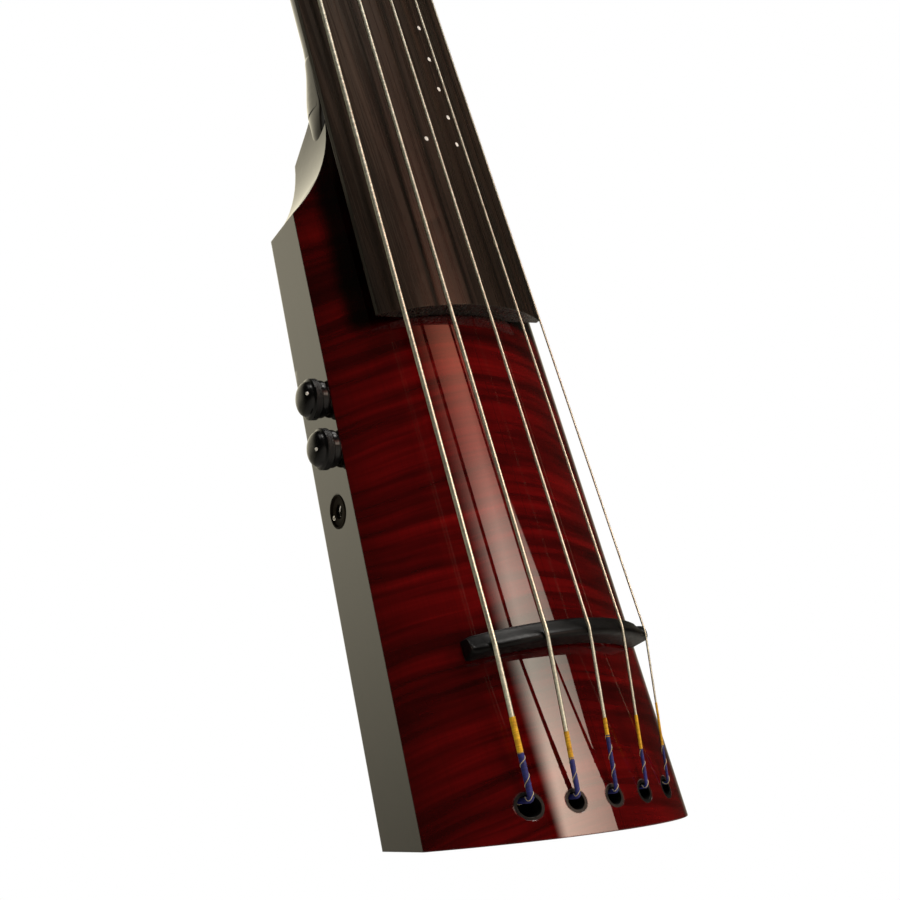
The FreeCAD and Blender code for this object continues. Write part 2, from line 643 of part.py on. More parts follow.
def make_strings():
    for name in STRINGS:
        piece(f"string_{name}", solid(f"wire_{name}", string_shape(name)))
    balls, collars, ferrules = [], [], []
    outer = arch("collar_arch", "arch_radius")
    for name, place in hole_places().items():
        exit_at = back_exit(place)
        seat_at = exit_at - value("ferrule_sink")
        ball_place = place.multiply(Placement(Vector(0, 0, seat_at - 4.2 + value("ball_radius") + 0.02), Rotation()))
        ball = doc.addObject("Part::Sphere", f"ball_{name}")
        balls.append(seat(bind(ball, Radius="ball_radius"), ball_place))
        radius = hole_radius(name)
        sleeve = cut(f"sleeve_{name}", tunnel(f"sleeve_out_{name}", place, f"{radius} + collar_wall - 0.02", "-10", "collar_depth - 0.1"),
                     tunnel(f"sleeve_in_{name}", place, f"{radius} - 0.3", "-12", "collar_depth + 2"))
        collars.append(common(f"collar_{name}", sleeve, outer))
        body = turned(f"ferrule_{name}", [
            ("string_exit", "-ferrule_length"), ("ferrule_radius - 0.8", "-ferrule_length"),
            ("ferrule_radius - 0.8", "0"), ("ferrule_flange", "0"), ("ferrule_flange", "1.6"),
            ("ball_pocket", "1.6"), ("ball_pocket", "-4.2"), ("string_exit", "-4.2"),
        ], place.multiply(Placement(Vector(0, 0, seat_at + 0.02), Rotation())))
        ferrules.append(body)
    piece("string_ball_ends", group("ball_group", balls))
    piece("string_collars", group("collar_group", collars))
    piece("string_ferrules", group("ferrule_group", ferrules))


def make_nut():
    """The nut: an arched block with one groove for each string."""
    line = "bridge_line + scale_length"
    block = box("nut_block", "nut_half * 2", "20", "nut_length - 0.1",
                ("-nut_half", "board_under_nut - 20", f"{line} + 0.05"))
    centre = Placement(Vector(0, value("string_arc_nut - string_lift"), value(line) - 5), Rotation())
    crown = rod("nut_crown", "string_arc_nut - 0.2", "nut_length + 10", centre)
    shaped = common("nut_shaped", block, crown)
    fillers = [solid(f"nut_groove_{name}", string_shape(name, 0.04)) for name in STRINGS]
    piece("nut", cut("nut_solid", shaped, *fillers))


def make_truss():
    piece("truss_rod", solid("truss_rod_solid", truss_shape(0.0, 4.4)))


# ---------------------------------------------------------------- bridge
def make_bridge():
    """The boat-shaped bridge on its two height screws, with pickup discs let into its foot."""
    arc = "(string_arc_bridge - bridge_seat)"
    centre_depth = value("string_arc_bridge - string_lift")
    foot = "(arch_radius + bridge_gap)"
    side_y = f"(arch_radius - sqrt({foot} ^ 2 - bridge_foot_half ^ 2))"
    tip_top = f"(string_arc_bridge - string_lift - sqrt({arc} ^ 2 - bridge_half ^ 2))"
    front = "-string_lift * 2"
    back_face = Placement(Vector(0, 0, value("bridge_line - bridge_tail_face")), Rotation())
    outline = flat_sketch("bridge_outline", back_face, [
        ("-bridge_half", front), ("bridge_half", front), ("bridge_half", f"{tip_top} + bridge_tip"),
        ("bridge_foot_half", side_y, foot, 1), ("-bridge_foot_half", side_y), ("-bridge_half", f"{tip_top} + bridge_tip"),
    ])
    bar = prism("bridge_bar", outline, "bridge_deep", Vector(0, 0, 1))
    crown = turned("bridge_crown", [
        ("0", "-bridge_tail_face - 1"), (f"{arc} - 1.4", "-bridge_tail_face - 1"), (f"{arc} - 0.5", "-1.2"),
        (arc, "-0.7"), (arc, "0.5"), (f"{arc} - bridge_slope_drop", "bridge_slope_run"),
        (f"{arc} - bridge_slope_drop", "bridge_deep + 1"), ("0", "bridge_deep + 1"),
    ], Placement(Vector(0, centre_depth, value("bridge_line")), Rotation()))
    shaped = common("bridge_shaped", bar, crown)
    grooves = [solid(f"bridge_groove_{name}", string_shape(name, 0.04)) for name in STRINGS]
    rooms = []
    for side in (-1, 1):
        place = bridge_post_place(side)
        rooms.append(tunnel(f"post_room_{side}", place, "post_radius + post_run", "-20", "10.5"))
        rooms.append(tunnel(f"wheel_room_{side}", place, "post_wheel_radius + post_run", "-20", "3"))
    discs = []
    for side in (-1, 1):
        place = pickup_place(side)
        rooms.append(tunnel(f"disc_room_{side}", place, "pickup_radius", "-20", "pickup_height + 0.02"))
        discs.append(rod(f"disc_{side}", "pickup_radius - 0.02", "pickup_height", place))
    piece("bridge", cut("bridge_solid", shaped, *(grooves + rooms)))
    piece("bridge_pickups", group("disc_group", discs))
    inserts = []
    for side, label in ((-1, "bass"), (1, "treble")):
        place = bridge_post_place(side)
        post = turned(f"post_{label}", [
            ("0", "-post_length"), ("post_radius", "-post_length"), ("post_radius", "2 - post_wheel_height / 2"),
            ("post_wheel_radius", "2 - post_wheel_height / 2"), ("post_wheel_radius", "2 + post_wheel_height / 2"),
            ("post_radius", "2 + post_wheel_height / 2"), ("post_radius", "10"), ("0", "10"),
        ], place)
        piece(f"bridge_screw_{label}", post)
        inserts.append(turned(f"insert_{label}", [
            ("post_radius + post_run", "-insert_length - 2"), ("insert_radius - 0.02", "-insert_length - 2"),
            ("insert_radius - 0.02", "-2"), ("post_radius + post_run", "-2"),
        ], place))
    piece("bridge_inserts", group("insert_group", inserts))


def arch_depth(x):
    """Depth of the arched top at a distance from the centre line."""
    radius = value("arch_radius")
    return radius - math.sqrt(radius ** 2 - x * x)


def bridge_post_place(side):
    """Frame of a height screw: local Z points from the body towards the strings."""
    x = side * value("post_spread")
    line = value("bridge_line + bridge_deep / 2 - bridge_tail_face")
    return Placement(Vector(x, arch_depth(x), line), Rotation(Vector(0, 0, 1), Vector(0, -1, 0)))


def pickup_place(side):
    """Frame of a pickup disc in the bridge's foot."""
    x = side * value("pickup_spread")
    place = bridge_post_place(side)
    return Placement(Vector(x, arch_depth(x) - value("bridge_gap") - 0.8, place.Base.z), place.Rotation)


# ---------------------------------------------------------------- controls
def make_knob(label, line):
    """One control: knob with its shaft and dot, potentiometer and fixing nut."""
    place = side_place(line, "knob_depth")
    low, top = "knob_stand", "(knob_stand + knob_length)"
    knob = turned(f"{label}_knob_body", [
        ("shaft_radius + 0.02", "knob_hollow_depth + knob_stand"), ("knob_hollow", "knob_hollow_depth + knob_stand"),
        ("knob_hollow", low), ("knob_radius - 0.5", low), ("knob_radius", f"{low} + 0.6"),
        ("knob_radius", "knob_stand + knob_flange_line - knob_flange_half * 1.6"),
        ("knob_flange", "knob_stand + knob_flange_line - knob_flange_half * 0.6"),
        ("knob_flange", "knob_stand + knob_flange_line + knob_flange_half * 0.6"),
        ("knob_radius", "knob_stand + knob_flange_line + knob_flange_half * 1.6"),
        ("knob_radius", f"{top} - 1.5"), ("knob_radius - 0.8", f"{top} - 0.6"),
        ("0", f"{top} + knob_dome"), ("0", f"{top} - 1.4"), ("shaft_radius + 0.02", f"{top} - 1.4"),
    ], place)
    turned_dot = place.multiply(Placement(Vector(0, 0, 0), Rotation(Vector(0, 0, 1), value("knob_dot_angle")))).multiply(
        Placement(Vector(value("knob_dot_offset"), 0, 0), Rotation()))
    drill = rod(f"{label}_dot_drill", "knob_dot_radius", "6", turned_dot, f"{top} - 1")
    piece(f"{label}_knob", cut(f"{label}_knob_solid", knob, drill))
    piece(f"{label}_dot", common(f"{label}_dot_solid", knob, drill))
    shaft = rod(f"{label}_shaft_bar", "shaft_radius", f"{top} - 1.5 + wall_at_pot + pot_height - 2", place, "-wall_at_pot - pot_height + 2")
    piece(f"{label}_shaft", shaft)
    pot = turned(f"{label}_pot_body", [
        ("0", "-wall_at_pot - pot_height"), ("pot_radius", "-wall_at_pot - pot_height"), ("pot_radius", "-wall_at_pot - 0.02"),
        ("pot_bush", "-wall_at_pot - 0.02"), ("pot_bush", "knob_stand + 1.9"), ("shaft_radius + shaft_run", "knob_stand + 1.9"),
        ("shaft_radius + shaft_run", "-wall_at_pot - pot_height + 1.6"), ("0", "-wall_at_pot - pot_height + 1.6"),
    ], place)
    piece(f"{label}_pot", pot)
    return turned(f"{label}_nut", [
        ("pot_bush + 0.02", "0.05"), ("pot_nut_radius", "0.05"), ("pot_nut_radius", "pot_nut_height"),
        ("pot_bush + 0.02", "pot_nut_height"),
    ], place)


def make_controls():
    nuts = [make_knob("volume", "volume_line"), make_knob("tone", "tone_line")]
    piece("pot_nuts", group("pot_nut_group", nuts))
    place = side_place("jack_line", "jack_depth")
    floor = "(-cup_depth + cup_floor)"
    cup = turned("jack_cup_body", [
        ("jack_bush + 0.05", "-cup_depth"), ("cup_radius", "-cup_depth"), ("cup_radius", "0.1"),
        ("cup_radius - 0.3", "0.3"), ("cup_radius - cup_wall", "0.1"), ("cup_radius - cup_wall", floor),
        ("jack_bush + 0.05", floor),
    ], place)
    holes, screws = [], []
    for side in (-1, 1):
        spot = place.multiply(Placement(Vector(side * value("cup_screw_offset"), 0, 0), Rotation()))
        holes.append(tunnel(f"cup_hole_{side}", spot, "cup_screw_shank + 0.05", "-cup_depth - 1", f"{floor} + 1"))
        screws.append(turned(f"cup_screw_{side}", [
            ("0", f"{floor} - cup_screw_length"), ("cup_screw_shank", f"{floor} - cup_screw_length + 1"),
            ("cup_screw_shank", f"{floor} + 0.02"), ("cup_screw_head", f"{floor} + 0.02"),
            ("cup_screw_head", "-cup_screw_top"), ("cup_screw_socket", "-cup_screw_top"),
            ("cup_screw_socket", "-cup_screw_top - 1.5"), ("0", "-cup_screw_top - 1.5"),
        ], spot))
    piece("jack_cup", cut("jack_cup_solid", cup, *holes))
    piece("jack_screws", group("jack_screw_group", screws))
    piece("output_jack", turned("output_jack_body", [
        ("plug_radius", "-cup_depth - jack_length"), ("jack_body", "-cup_depth - jack_length"),
        ("jack_body", "-cup_depth - cup_screw_length"), ("jack_bush", "-cup_depth - cup_screw_length"),
        ("jack_bush", "-3"), ("plug_radius + 0.35", "-2.6"), ("plug_radius", "-3"),
    ], place))
    piece("jack_nut", turned("jack_nut_body", [
        ("jack_bush + 0.05", f"{floor} + 0.05"), ("jack_nut_radius", f"{floor} + 0.05"),
        ("jack_nut_radius", f"{floor} + 0.05 + jack_nut_height"), ("jack_bush + 0.05", f"{floor} + 0.05 + jack_nut_height"),
    ], place))


def make_cover():
    frame = cavity_frame()
    wide = "(cavity_out - cavity_in + cover_lip * 2 - cover_play * 2)"
    tall = "(cavity_high - cavity_low + cover_lip * 2 - cover_play * 2)"
    plate = box("cover_blank", wide, tall, "cover_thickness - 0.05", (f"-{wide} / 2", f"-{tall} / 2", "-cover_thickness + 0.02"), frame)
    holes, screws = [], []
    for index, corner in enumerate(cover_corners()):
        holes.append(tunnel(f"cover_hole_{index}", corner, "cover_screw_radius + 0.1", "-10", "5"))
        holes.append(tunnel(f"cover_sink_{index}", corner, "cover_screw_head + 0.1", "-cover_screw_sink", "5"))
        screws.append(turned(f"cover_screw_{index}", [
            ("0", "-cover_screw_length"), ("cover_screw_radius", "-cover_screw_length + 2"),
            ("cover_screw_radius", "-cover_screw_sink + 0.02"), ("cover_screw_head", "-cover_screw_sink + 0.02"),
            ("cover_screw_head", "-0.4"), ("cover_screw_head * 0.7", "-0.1"), ("0", "-0.1"),
        ], corner))
    piece("control_cover", cut("cover_solid", plate, *holes))
    piece("cover_screws", group("cover_screw_group", screws))
    board_at = frame.multiply(Placement(Vector(value("board_wide") * 0.25, value("board_tall") * -0.35, -16), Rotation()))
    board = box("preamp_blank", "board_wide", "board_tall", "board_thick", ("-board_wide / 2", "-board_tall / 2", "0"), board_at)
    cell = box("preamp_cell", "board_wide * 0.5", "board_tall * 0.5", "6", ("-board_wide / 4", "-board_tall / 4", "board_thick"), board_at)
    piece("preamp_board", fuse("preamp_solid", board, cell))


def wire(points):
    """A round lead through points."""
    radius = value("wire_radius")
    shape = between(points[0], points[1], radius)
    for start, end in zip(points[1:], points[2:]):
        shape = shape.fuse(Part.makeSphere(radius, start)).fuse(between(start, end, radius))
    return shape


def make_wiring():
    frame = cavity_frame()

    def inside(x, y, z):
        return frame.multVec(Vector(x, y, z))

    leads = []
    for label, line in (("volume", "volume_line"), ("tone", "tone_line")):
        tail = side_place(line, "knob_depth").multVec(Vector(0, 0, -value("wall_at_pot + pot_height") - 1.2))
        leads.append(wire([tail, inside(6, frame.inverse().multVec(tail).y * 0.7, -18), inside(8, 4, -17)]))
    tail = side_place("jack_line", "jack_depth").multVec(Vector(0, 5.2, -value("cup_depth + jack_length") - 1.2))
    leads.append(wire([tail, inside(0, -30, -20), inside(4, -34, -17.2)]))
    piece("wiring", solid("wiring_solid", Part.makeCompound(leads)))


def make_stand_insert():
    """Threaded insert in the back that takes the screw of a stand."""
    place = back_place(0, value("stand_line"))
    piece("stand_insert", turned("stand_insert_body", [
        ("0", "-stand_length"), ("stand_radius", "-stand_length"), ("stand_radius", "-stand_flange_height + 0.02"),
        ("stand_flange", "-stand_flange_height + 0.02"), ("stand_flange", "0"), ("stand_thread", "0"),
        ("stand_thread", "-stand_bore"), ("0", "-stand_bore"),
    ], place))


# ---------------------------------------------------------------- machine heads
def tuner_places():
    """Frames on the back of the head: local Z points out of the back, local X to the side."""
    head = head_place()
    places = {}
    for name, (side, along) in HEAD_PLACES.items():
        at = head.multVec(Vector(side * value("post_out"), along, -value("head_thickness")))
        out = head.Rotation.multVec(Vector(side, 0, 0))
        back = head.Rotation.multVec(Vector(0, 0, -1))
        places[name] = Placement(at, Rotation(out, back.cross(out), back, "ZXY"))
    return places


def tuner_screw_places(place):
    """Where a tuner plate is screwed down."""
    low, high = value("plate_low") - 3.2, value("plate_high") - 3.2
    spots = ((-value("plate_in") + 3.2, -low), (value("plate_out") - 3.2, -low), (0, high + 0.4))
    return [place.multiply(Placement(Vector(x, y, 0), Rotation())) for x, y in spots]


def gear_shape():
    """The wheel on a capstan, with a trapezoid tooth for each step round its rim."""
    outer, root = value("gear_radius"), value("gear_radius - gear_tooth")
    points = []
    for tooth in range(GEAR_TEETH):
        middle = 2 * math.pi * tooth / GEAR_TEETH
        step = 2 * math.pi / GEAR_TEETH
        for radius, offset in ((root, -0.32), (outer, -0.14), (outer, 0.14), (root, 0.32)):
            angle = middle + offset * step
            points.append(Vector(radius * math.cos(angle), radius * math.sin(angle), value("gear_low")))
    wheel = Part.Face(Part.makePolygon(points + points[:1])).extrude(Vector(0, 0, value("gear_height")))
    return wheel


def make_ear(name, axle):
    """The flat ear of a key: a rounded outline that thins towards its rim."""
    centre = axle.multiply(Placement(Vector(0, 0, value("key_reach")), SIDEWAYS.Rotation))
    outline = flat_sketch(f"ear_outline_{name}", centre, [
        ("-key_neck", "-key_long"), ("key_neck", "-key_long", "key_side_sweep", 1),
        ("key_wide", "key_shoulder", "key_wide + 0.5", 1), ("-key_wide", "key_shoulder", "key_side_sweep", 1),
    ])
    slab = prism(f"ear_slab_{name}", outline, "key_thick * 2", axle.Rotation.multVec(Vector(1, 0, 0)), symmetric=True)
    lens = turned(f"ear_lens_{name}", [
        ("0", "-key_thick"), ("key_long * 0.4", "-key_thick * 0.9"), ("key_long * 1.3", "-key_thick * 0.35"),
        ("key_long * 1.3", "key_thick * 0.35"), ("key_long * 0.4", "key_thick * 0.9"), ("0", "key_thick"),
    ], centre)
    return common(f"ear_{name}", slab, lens)


def make_tuner(name, place):
    """One machine head: returns its plate, its front bush and its screws."""
    thick = value("head_thickness")
    front = -(thick + value("capstan_rise"))
    capstan = turned(f"capstan_{name}", [
        ("0", f"{front}"), ("capstan_lip", f"{front}"), ("capstan_lip", f"{front + 2}"), ("capstan_radius", f"{front + 4.5}"),
        ("capstan_radius", f"{-thick - 5}"), ("capstan_radius + 1", f"{-thick - 3.6}"),
        ("capstan_radius + 1", f"{-thick} - bush_flange_height - 0.1"), ("capstan_radius", f"{-thick} - bush_flange_height - 0.1"),
        ("capstan_radius", "gear_low + 1"), ("2.5", "gear_low + 1"), ("2.5", "gear_low + gear_height + 1"), ("0", "gear_low + gear_height + 1.6"),
    ], place)
    gear = solid(f"gear_{name}", gear_shape(), place)
    piece(f"tuner_post_{name}", fuse(f"post_solid_{name}", capstan, gear))

    turn_to_x = Placement(Vector(0, value("worm_offset"), value("worm_height")), Rotation(Vector(0, 0, 1), Vector(1, 0, 0)))
    axle = place.multiply(turn_to_x)
    inner = "(plate_in - lug_thick - 0.2)"
    worm_rings = []
    rings = 5
    for ring in range(rings):
        low = f"-{inner} + {ring} * {inner} * 2 / {rings} + 0.1"
        worm_rings += [(f"worm_radius - 0.9", low), ("worm_radius", f"{low} + 0.9"), ("worm_radius", f"{low} + 1.9"),
                       ("worm_radius - 0.9", f"{low} + 2.8")]
    key_profile = [("0", "-plate_in - 1.6"), ("worm_shaft", "-plate_in - 1.2"), ("worm_shaft", f"-{inner} + 0.05")]
    key_profile += worm_rings
    key_profile += [("worm_shaft", f"{inner} - 0.05"), ("worm_shaft", "plate_out + 0.4"), ("worm_shaft + 1.2", "plate_out + 0.4"),
                    ("worm_shaft + 1.6", "plate_out + 2"), ("worm_shaft", "plate_out + 4"), ("worm_shaft", "key_reach - key_long + 3"),
                    ("0", "key_reach - key_long + 3")]
    axle_body = turned(f"axle_{name}", key_profile, axle)
    ear = make_ear(name, axle)
    piece(f"tuner_key_{name}", fuse(f"key_solid_{name}", axle_body, ear))

    plate = box(f"plate_{name}", "plate_in + plate_out", "plate_low + plate_high", "plate_gauge",
                ("-plate_in", "-plate_low", "0.02"), place)
    lugs = [box(f"lug_{name}_{index}", "lug_thick", "lug_half * 2", "worm_height + lug_half - 0.5",
                (corner, "worm_offset - lug_half", "0.5"), place)
            for index, corner in enumerate(("-plate_in", "plate_out - lug_thick"))]
    openings = [tunnel(f"plate_bore_{name}", place, "capstan_radius + turn_run", "-5", "5"),
                rod(f"lug_bore_{name}", "worm_shaft + turn_run", "plate_in * 4", axle, "-plate_in * 2")]
    screws = []
    for index, spot in enumerate(tuner_screw_places(place)):
        openings.append(tunnel(f"plate_hole_{name}_{index}", spot, "tuner_screw_radius + 0.1", "-5", "5"))
        screws.append(turned(f"tuner_screw_{name}_{index}", [
            ("0", "-tuner_screw_length"), ("tuner_screw_radius", "-tuner_screw_length + 2"),
            ("tuner_screw_radius", "plate_gauge + 0.04"), ("tuner_screw_head", "plate_gauge + 0.04"),
            ("tuner_screw_head * 0.8", "plate_gauge + 1"), ("0", "plate_gauge + 1.4"),
        ], spot))
    frame_plate = cut(f"tuner_plate_{name}", fuse(f"plate_blank_{name}", plate, *lugs), *openings)
    bush = turned(f"bush_{name}", [
        ("capstan_radius + turn_run", f"{-thick} - bush_flange_height"), ("bush_flange", f"{-thick} - bush_flange_height"),
        ("bush_flange", f"{-thick} - 0.02"), ("bush_radius", f"{-thick} - 0.02"), ("bush_radius", "-0.02"),
        ("capstan_radius + turn_run", "-0.02"),
    ], place)
    return frame_plate, bush, screws


def make_tuners():
    plates, bushes, screws = [], [], []
    for name, place in tuner_places().items():
        plate, bush, fixings = make_tuner(name, place)
        plates.append(plate)
        bushes.append(bush)
        screws += fixings
    piece("tuner_plates", group("tuner_plate_group", plates))
    piece("tuner_bushes", group("tuner_bush_group", bushes))
    piece("tuner_screws", group("tuner_screw_group", screws))


make_body()
make_neck()
make_board()
make_nut()
make_truss()
make_strings()
make_bridge()
make_controls()
make_cover()
make_wiring()
make_stand_insert()
make_tuners()
doc.recompute()

failed = [thing.Name for thing in doc.Objects if {"Invalid", "Error"} & set(thing.State)]
if failed:
    raise RuntimeError(f"objects failed to compute: {failed}")
for thing in pieces:
    if thing.Shape.isNull() or not thing.Shape.isValid() or not thing.Shape.Solids:
        raise RuntimeError(f"{thing.Label} has no valid solid")
os.makedirs("parts", exist_ok=True)
for thing in pieces:
    thing.Shape.exportStep(f"parts/{thing.Label}.step")
    print(f"{thing.Label:24s} {len(thing.Shape.Solids):3d} solids {thing.Shape.Volume / 1000:10.3f} cm3")
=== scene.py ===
"""Looks of the five-string electric upright bass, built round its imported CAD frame.

Metres, in the CAD frame: +Z up the centre line, -Y the playing side, +X the thinnest
string's side.  The arched top is part of a cylinder about a line parallel to Z.
Values named in mm are multiplied by MM where they are used.
"""

import json
import math

import bpy
from mathutils import Matrix, Vector


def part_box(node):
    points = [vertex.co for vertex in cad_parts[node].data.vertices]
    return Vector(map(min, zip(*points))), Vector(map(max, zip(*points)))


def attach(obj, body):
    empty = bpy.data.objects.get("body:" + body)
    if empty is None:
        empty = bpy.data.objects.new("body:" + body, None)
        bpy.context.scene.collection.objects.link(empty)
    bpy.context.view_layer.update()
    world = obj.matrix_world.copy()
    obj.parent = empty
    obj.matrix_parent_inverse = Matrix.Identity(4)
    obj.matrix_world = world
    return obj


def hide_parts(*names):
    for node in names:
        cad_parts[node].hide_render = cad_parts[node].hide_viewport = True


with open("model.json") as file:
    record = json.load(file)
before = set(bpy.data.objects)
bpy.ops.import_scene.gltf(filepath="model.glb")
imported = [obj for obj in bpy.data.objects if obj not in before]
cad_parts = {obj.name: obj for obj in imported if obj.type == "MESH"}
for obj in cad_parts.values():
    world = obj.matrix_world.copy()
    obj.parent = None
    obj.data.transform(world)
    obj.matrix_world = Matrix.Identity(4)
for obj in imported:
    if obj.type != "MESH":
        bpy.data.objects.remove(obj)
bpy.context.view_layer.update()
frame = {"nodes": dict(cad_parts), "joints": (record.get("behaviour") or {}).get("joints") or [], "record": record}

MM = 0.001
PLATE = 6 * MM               # thickness of the top plate
ARCH = 106 * MM              # radius of the arched top; its axis is at (0, ARCH)
STRINGS = ("b", "e", "a", "d", "g")
BRIDGE_LINE = 92.3 * MM      # where the strings cross the bridge, up from the tail
TAIL_SLANT = 0.296           # rise of the sloped tail end per unit of depth
UP = Vector((0, 0, 1))


# ---------------------------------------------------------------- node materials
class Nodes:
    """Small helpers that add nodes to a tree and wire them up."""

    def __init__(self, tree):
        self.tree = tree

    def node(self, kind, **settings):
        made = self.tree.nodes.new(kind)
        for key, amount in settings.items():
            setattr(made, key, amount)
        return made

    def feed(self, socket, source):
        if isinstance(source, bpy.types.NodeSocket):
            self.tree.links.new(source, socket)
        else:
            socket.default_value = source

    def math(self, operation, *values):
        made = self.node("ShaderNodeMath", operation=operation)
        for socket, amount in zip(made.inputs, values):
            self.feed(socket, amount)
        return made.outputs[0]

    def vector(self, operation, *values):
        made = self.node("ShaderNodeVectorMath", operation=operation)
        for socket, amount in zip(made.inputs, values):
            self.feed(socket, amount)
        return made.outputs["Value" if operation in ("LENGTH", "DOT_PRODUCT") else "Vector"]

    def noise(self, where, scale=1.0, detail=2.0, rough=0.5, twist=0.0):
        made = self.node("ShaderNodeTexNoise")
        for key, amount in (("Vector", where), ("Scale", scale), ("Detail", detail),
                            ("Roughness", rough), ("Distortion", twist)):
            self.feed(made.inputs[key], amount)
        return made.outputs["Fac"]

    def voronoi(self, where, scale=1.0):
        made = self.node("ShaderNodeTexVoronoi", feature="F1")
        self.feed(made.inputs["Vector"], where)
        self.feed(made.inputs["Scale"], scale)
        return made.outputs["Distance"]

    def spread(self, source, low, high, to_low=0.0, to_high=1.0):
        made = self.node("ShaderNodeMapRange", clamp=True, interpolation_type="SMOOTHSTEP")
        for socket, amount in zip(made.inputs, (source, low, high, to_low, to_high)):
            self.feed(socket, amount)
        return made.outputs[0]

    def ramp(self, source, stops):
        made = self.node("ShaderNodeValToRGB")
        self.feed(made.inputs[0], source)
        band = made.color_ramp
        band.elements[0].position, band.elements[0].color = stops[0][0], (*stops[0][1], 1)
        band.elements[1].position, band.elements[1].color = stops[-1][0], (*stops[-1][1], 1)
        for place, colour in stops[1:-1]:
            band.elements.new(place).color = (*colour, 1)
        return made.outputs[0]

    def mix(self, share, first, second, how="MIX"):
        made = self.node("ShaderNodeMix", data_type="RGBA", blend_type=how, clamp_factor=True)
        first, second = ((*one, 1.0) if isinstance(one, tuple) else one for one in (first, second))
        self.feed(made.inputs[0], share)
        self.feed(made.inputs[6], first)
        self.feed(made.inputs[7], second)
        return made.outputs[2]

    def blend(self, share, first, second):
        """Plain number between first and second."""
        made = self.node("ShaderNodeMix", data_type="FLOAT", clamp_factor=True)
        for socket, amount in zip(made.inputs[:1] + made.inputs[2:4], (share, first, second)):
            self.feed(socket, amount)
        return made.outputs[0]

    def split(self, source):
        made = self.node("ShaderNodeSeparateXYZ")
        self.feed(made.inputs[0], source)
        return made.outputs

    def join(self, x, y, z):
        made = self.node("ShaderNodeCombineXYZ")
        for socket, amount in zip(made.inputs, (x, y, z)):
            self.feed(socket, amount)
        return made.outputs[0]

    def blend_directions(self, share, first, second):
        """Direction between first and second."""
        made = self.node("ShaderNodeMix", data_type="VECTOR", clamp_factor=True)
        for socket, amount in zip(made.inputs[:1] + made.inputs[4:6], (share, first, second)):
            self.feed(socket, amount)
        return made.outputs[1]


class Look(Nodes):
    """A Principled material."""

    def __init__(self, name, **inputs):
        self.material = bpy.data.materials.new(name)
        self.material.use_nodes = True
        super().__init__(self.material.node_tree)
        self.shader = self.tree.nodes["Principled BSDF"]
        self.position = self.node("ShaderNodeTexCoord").outputs["Object"]
        for key, amount in inputs.items():
            self.put(key.replace("_", " "), amount)

    def put(self, name, source):
        if isinstance(source, tuple) and len(source) == 3:
            source = (*source, 1.0)
        self.feed(self.shader.inputs[name], source)

    def scaled(self, x, y, z, source=None):
        return self.vector("MULTIPLY", source or self.position, (x, y, z))

    def bump(self, height, distance, strength, normal=None):
        made = self.node("ShaderNodeBump")
        self.feed(made.inputs["Height"], height)
        self.feed(made.inputs["Distance"], distance)
        self.feed(made.inputs["Strength"], strength)
        if normal is not None:
            self.feed(made.inputs["Normal"], normal)
        return made.outputs[0]

    def rounded(self, radius):
        """Shading normal that rounds off hard edges."""
        made = self.node("ShaderNodeBevel", samples=4)
        made.inputs["Radius"].default_value = radius
        return made.outputs[0]

    def surface(self, kind):
        """The surface's own direction: Normal follows smooth shading, True Normal the face."""
        return self.node("ShaderNodeNewGeometry").outputs[kind]

    def radius_from_arch(self):
        """Distance from the axis of the arched top."""
        x, y, _ = self.split(self.position)
        return self.vector("LENGTH", self.join(x, self.math("SUBTRACT", y, ARCH), 0.0))

    def away_from_seam(self, edge, side):
        """Keep a rounded normal off the glue line; side is 1 on the body, -1 on the top plate."""
        seam = ARCH - PLATE
        near = self.spread(self.radius_from_arch(), seam - side * 3 * MM, seam - side * 2 * MM)
        return self.blend_directions(near, edge, self.surface("Normal"))


def dark_lacquer_colour(look):
    """Near-black brown lacquer with a faint wood figure below it."""
    grain = look.noise(look.scaled(40, 40, 5), 9, 6, 0.6, 0.4)
    return look.ramp(grain, [(0.3, (0.004, 0.003, 0.0025)), (0.7, (0.012, 0.008, 0.006))])


def flamed_maple(look, x, y, z):
    """Dark and light red bands across the grain, with fibres, a centre seam and a dark rim."""
    half = look.math("ABSOLUTE", look.math("ADD", x, 0.006))
    tilted = look.math("SUBTRACT", z, look.math("MULTIPLY", half, -0.10))
    wave = look.noise(look.scaled(9, 9, 7), 1, 2, 0.5)
    drift = look.math("MULTIPLY", look.math("SUBTRACT", wave, 0.5), 0.014)
    waved = look.math("ADD", tilted, drift)
    place = look.join(x, y, waved)
    stripes = look.noise(look.scaled(6, 3, 112, place), 1.0, 3, 0.55, 0.35)
    fine = look.noise(look.scaled(18, 0, 330, place), 1.0, 2, 0.6, 0.2)
    figure = look.math("ADD", look.math("MULTIPLY", stripes, 0.78), look.math("MULTIPLY", fine, 0.22))
    wood = look.ramp(figure, [(0.34, (0.0140, 0.0005, 0.0006)), (0.47, (0.036, 0.0008, 0.0010)),
                              (0.56, (0.064, 0.0011, 0.0014)), (0.70, (0.110, 0.0022, 0.0024))])
    fibre = look.noise(look.scaled(900, 900, 25), 1, 3, 0.6)
    wood = look.mix(look.spread(fibre, 0.35, 0.75, 0.0, 0.25), wood, (0.03, 0.0008, 0.0008))
    seam = look.spread(look.math("ABSOLUTE", x), 0.0, 0.0005, 0.55, 0.0)
    wood = look.mix(seam, wood, (0.02, 0.0006, 0.0006))
    rim = look.spread(look.math("ABSOLUTE", x), 0.058, 0.092, 0.0, 0.55)
    return look.mix(rim, wood, (0.012, 0.0005, 0.0004)), fibre


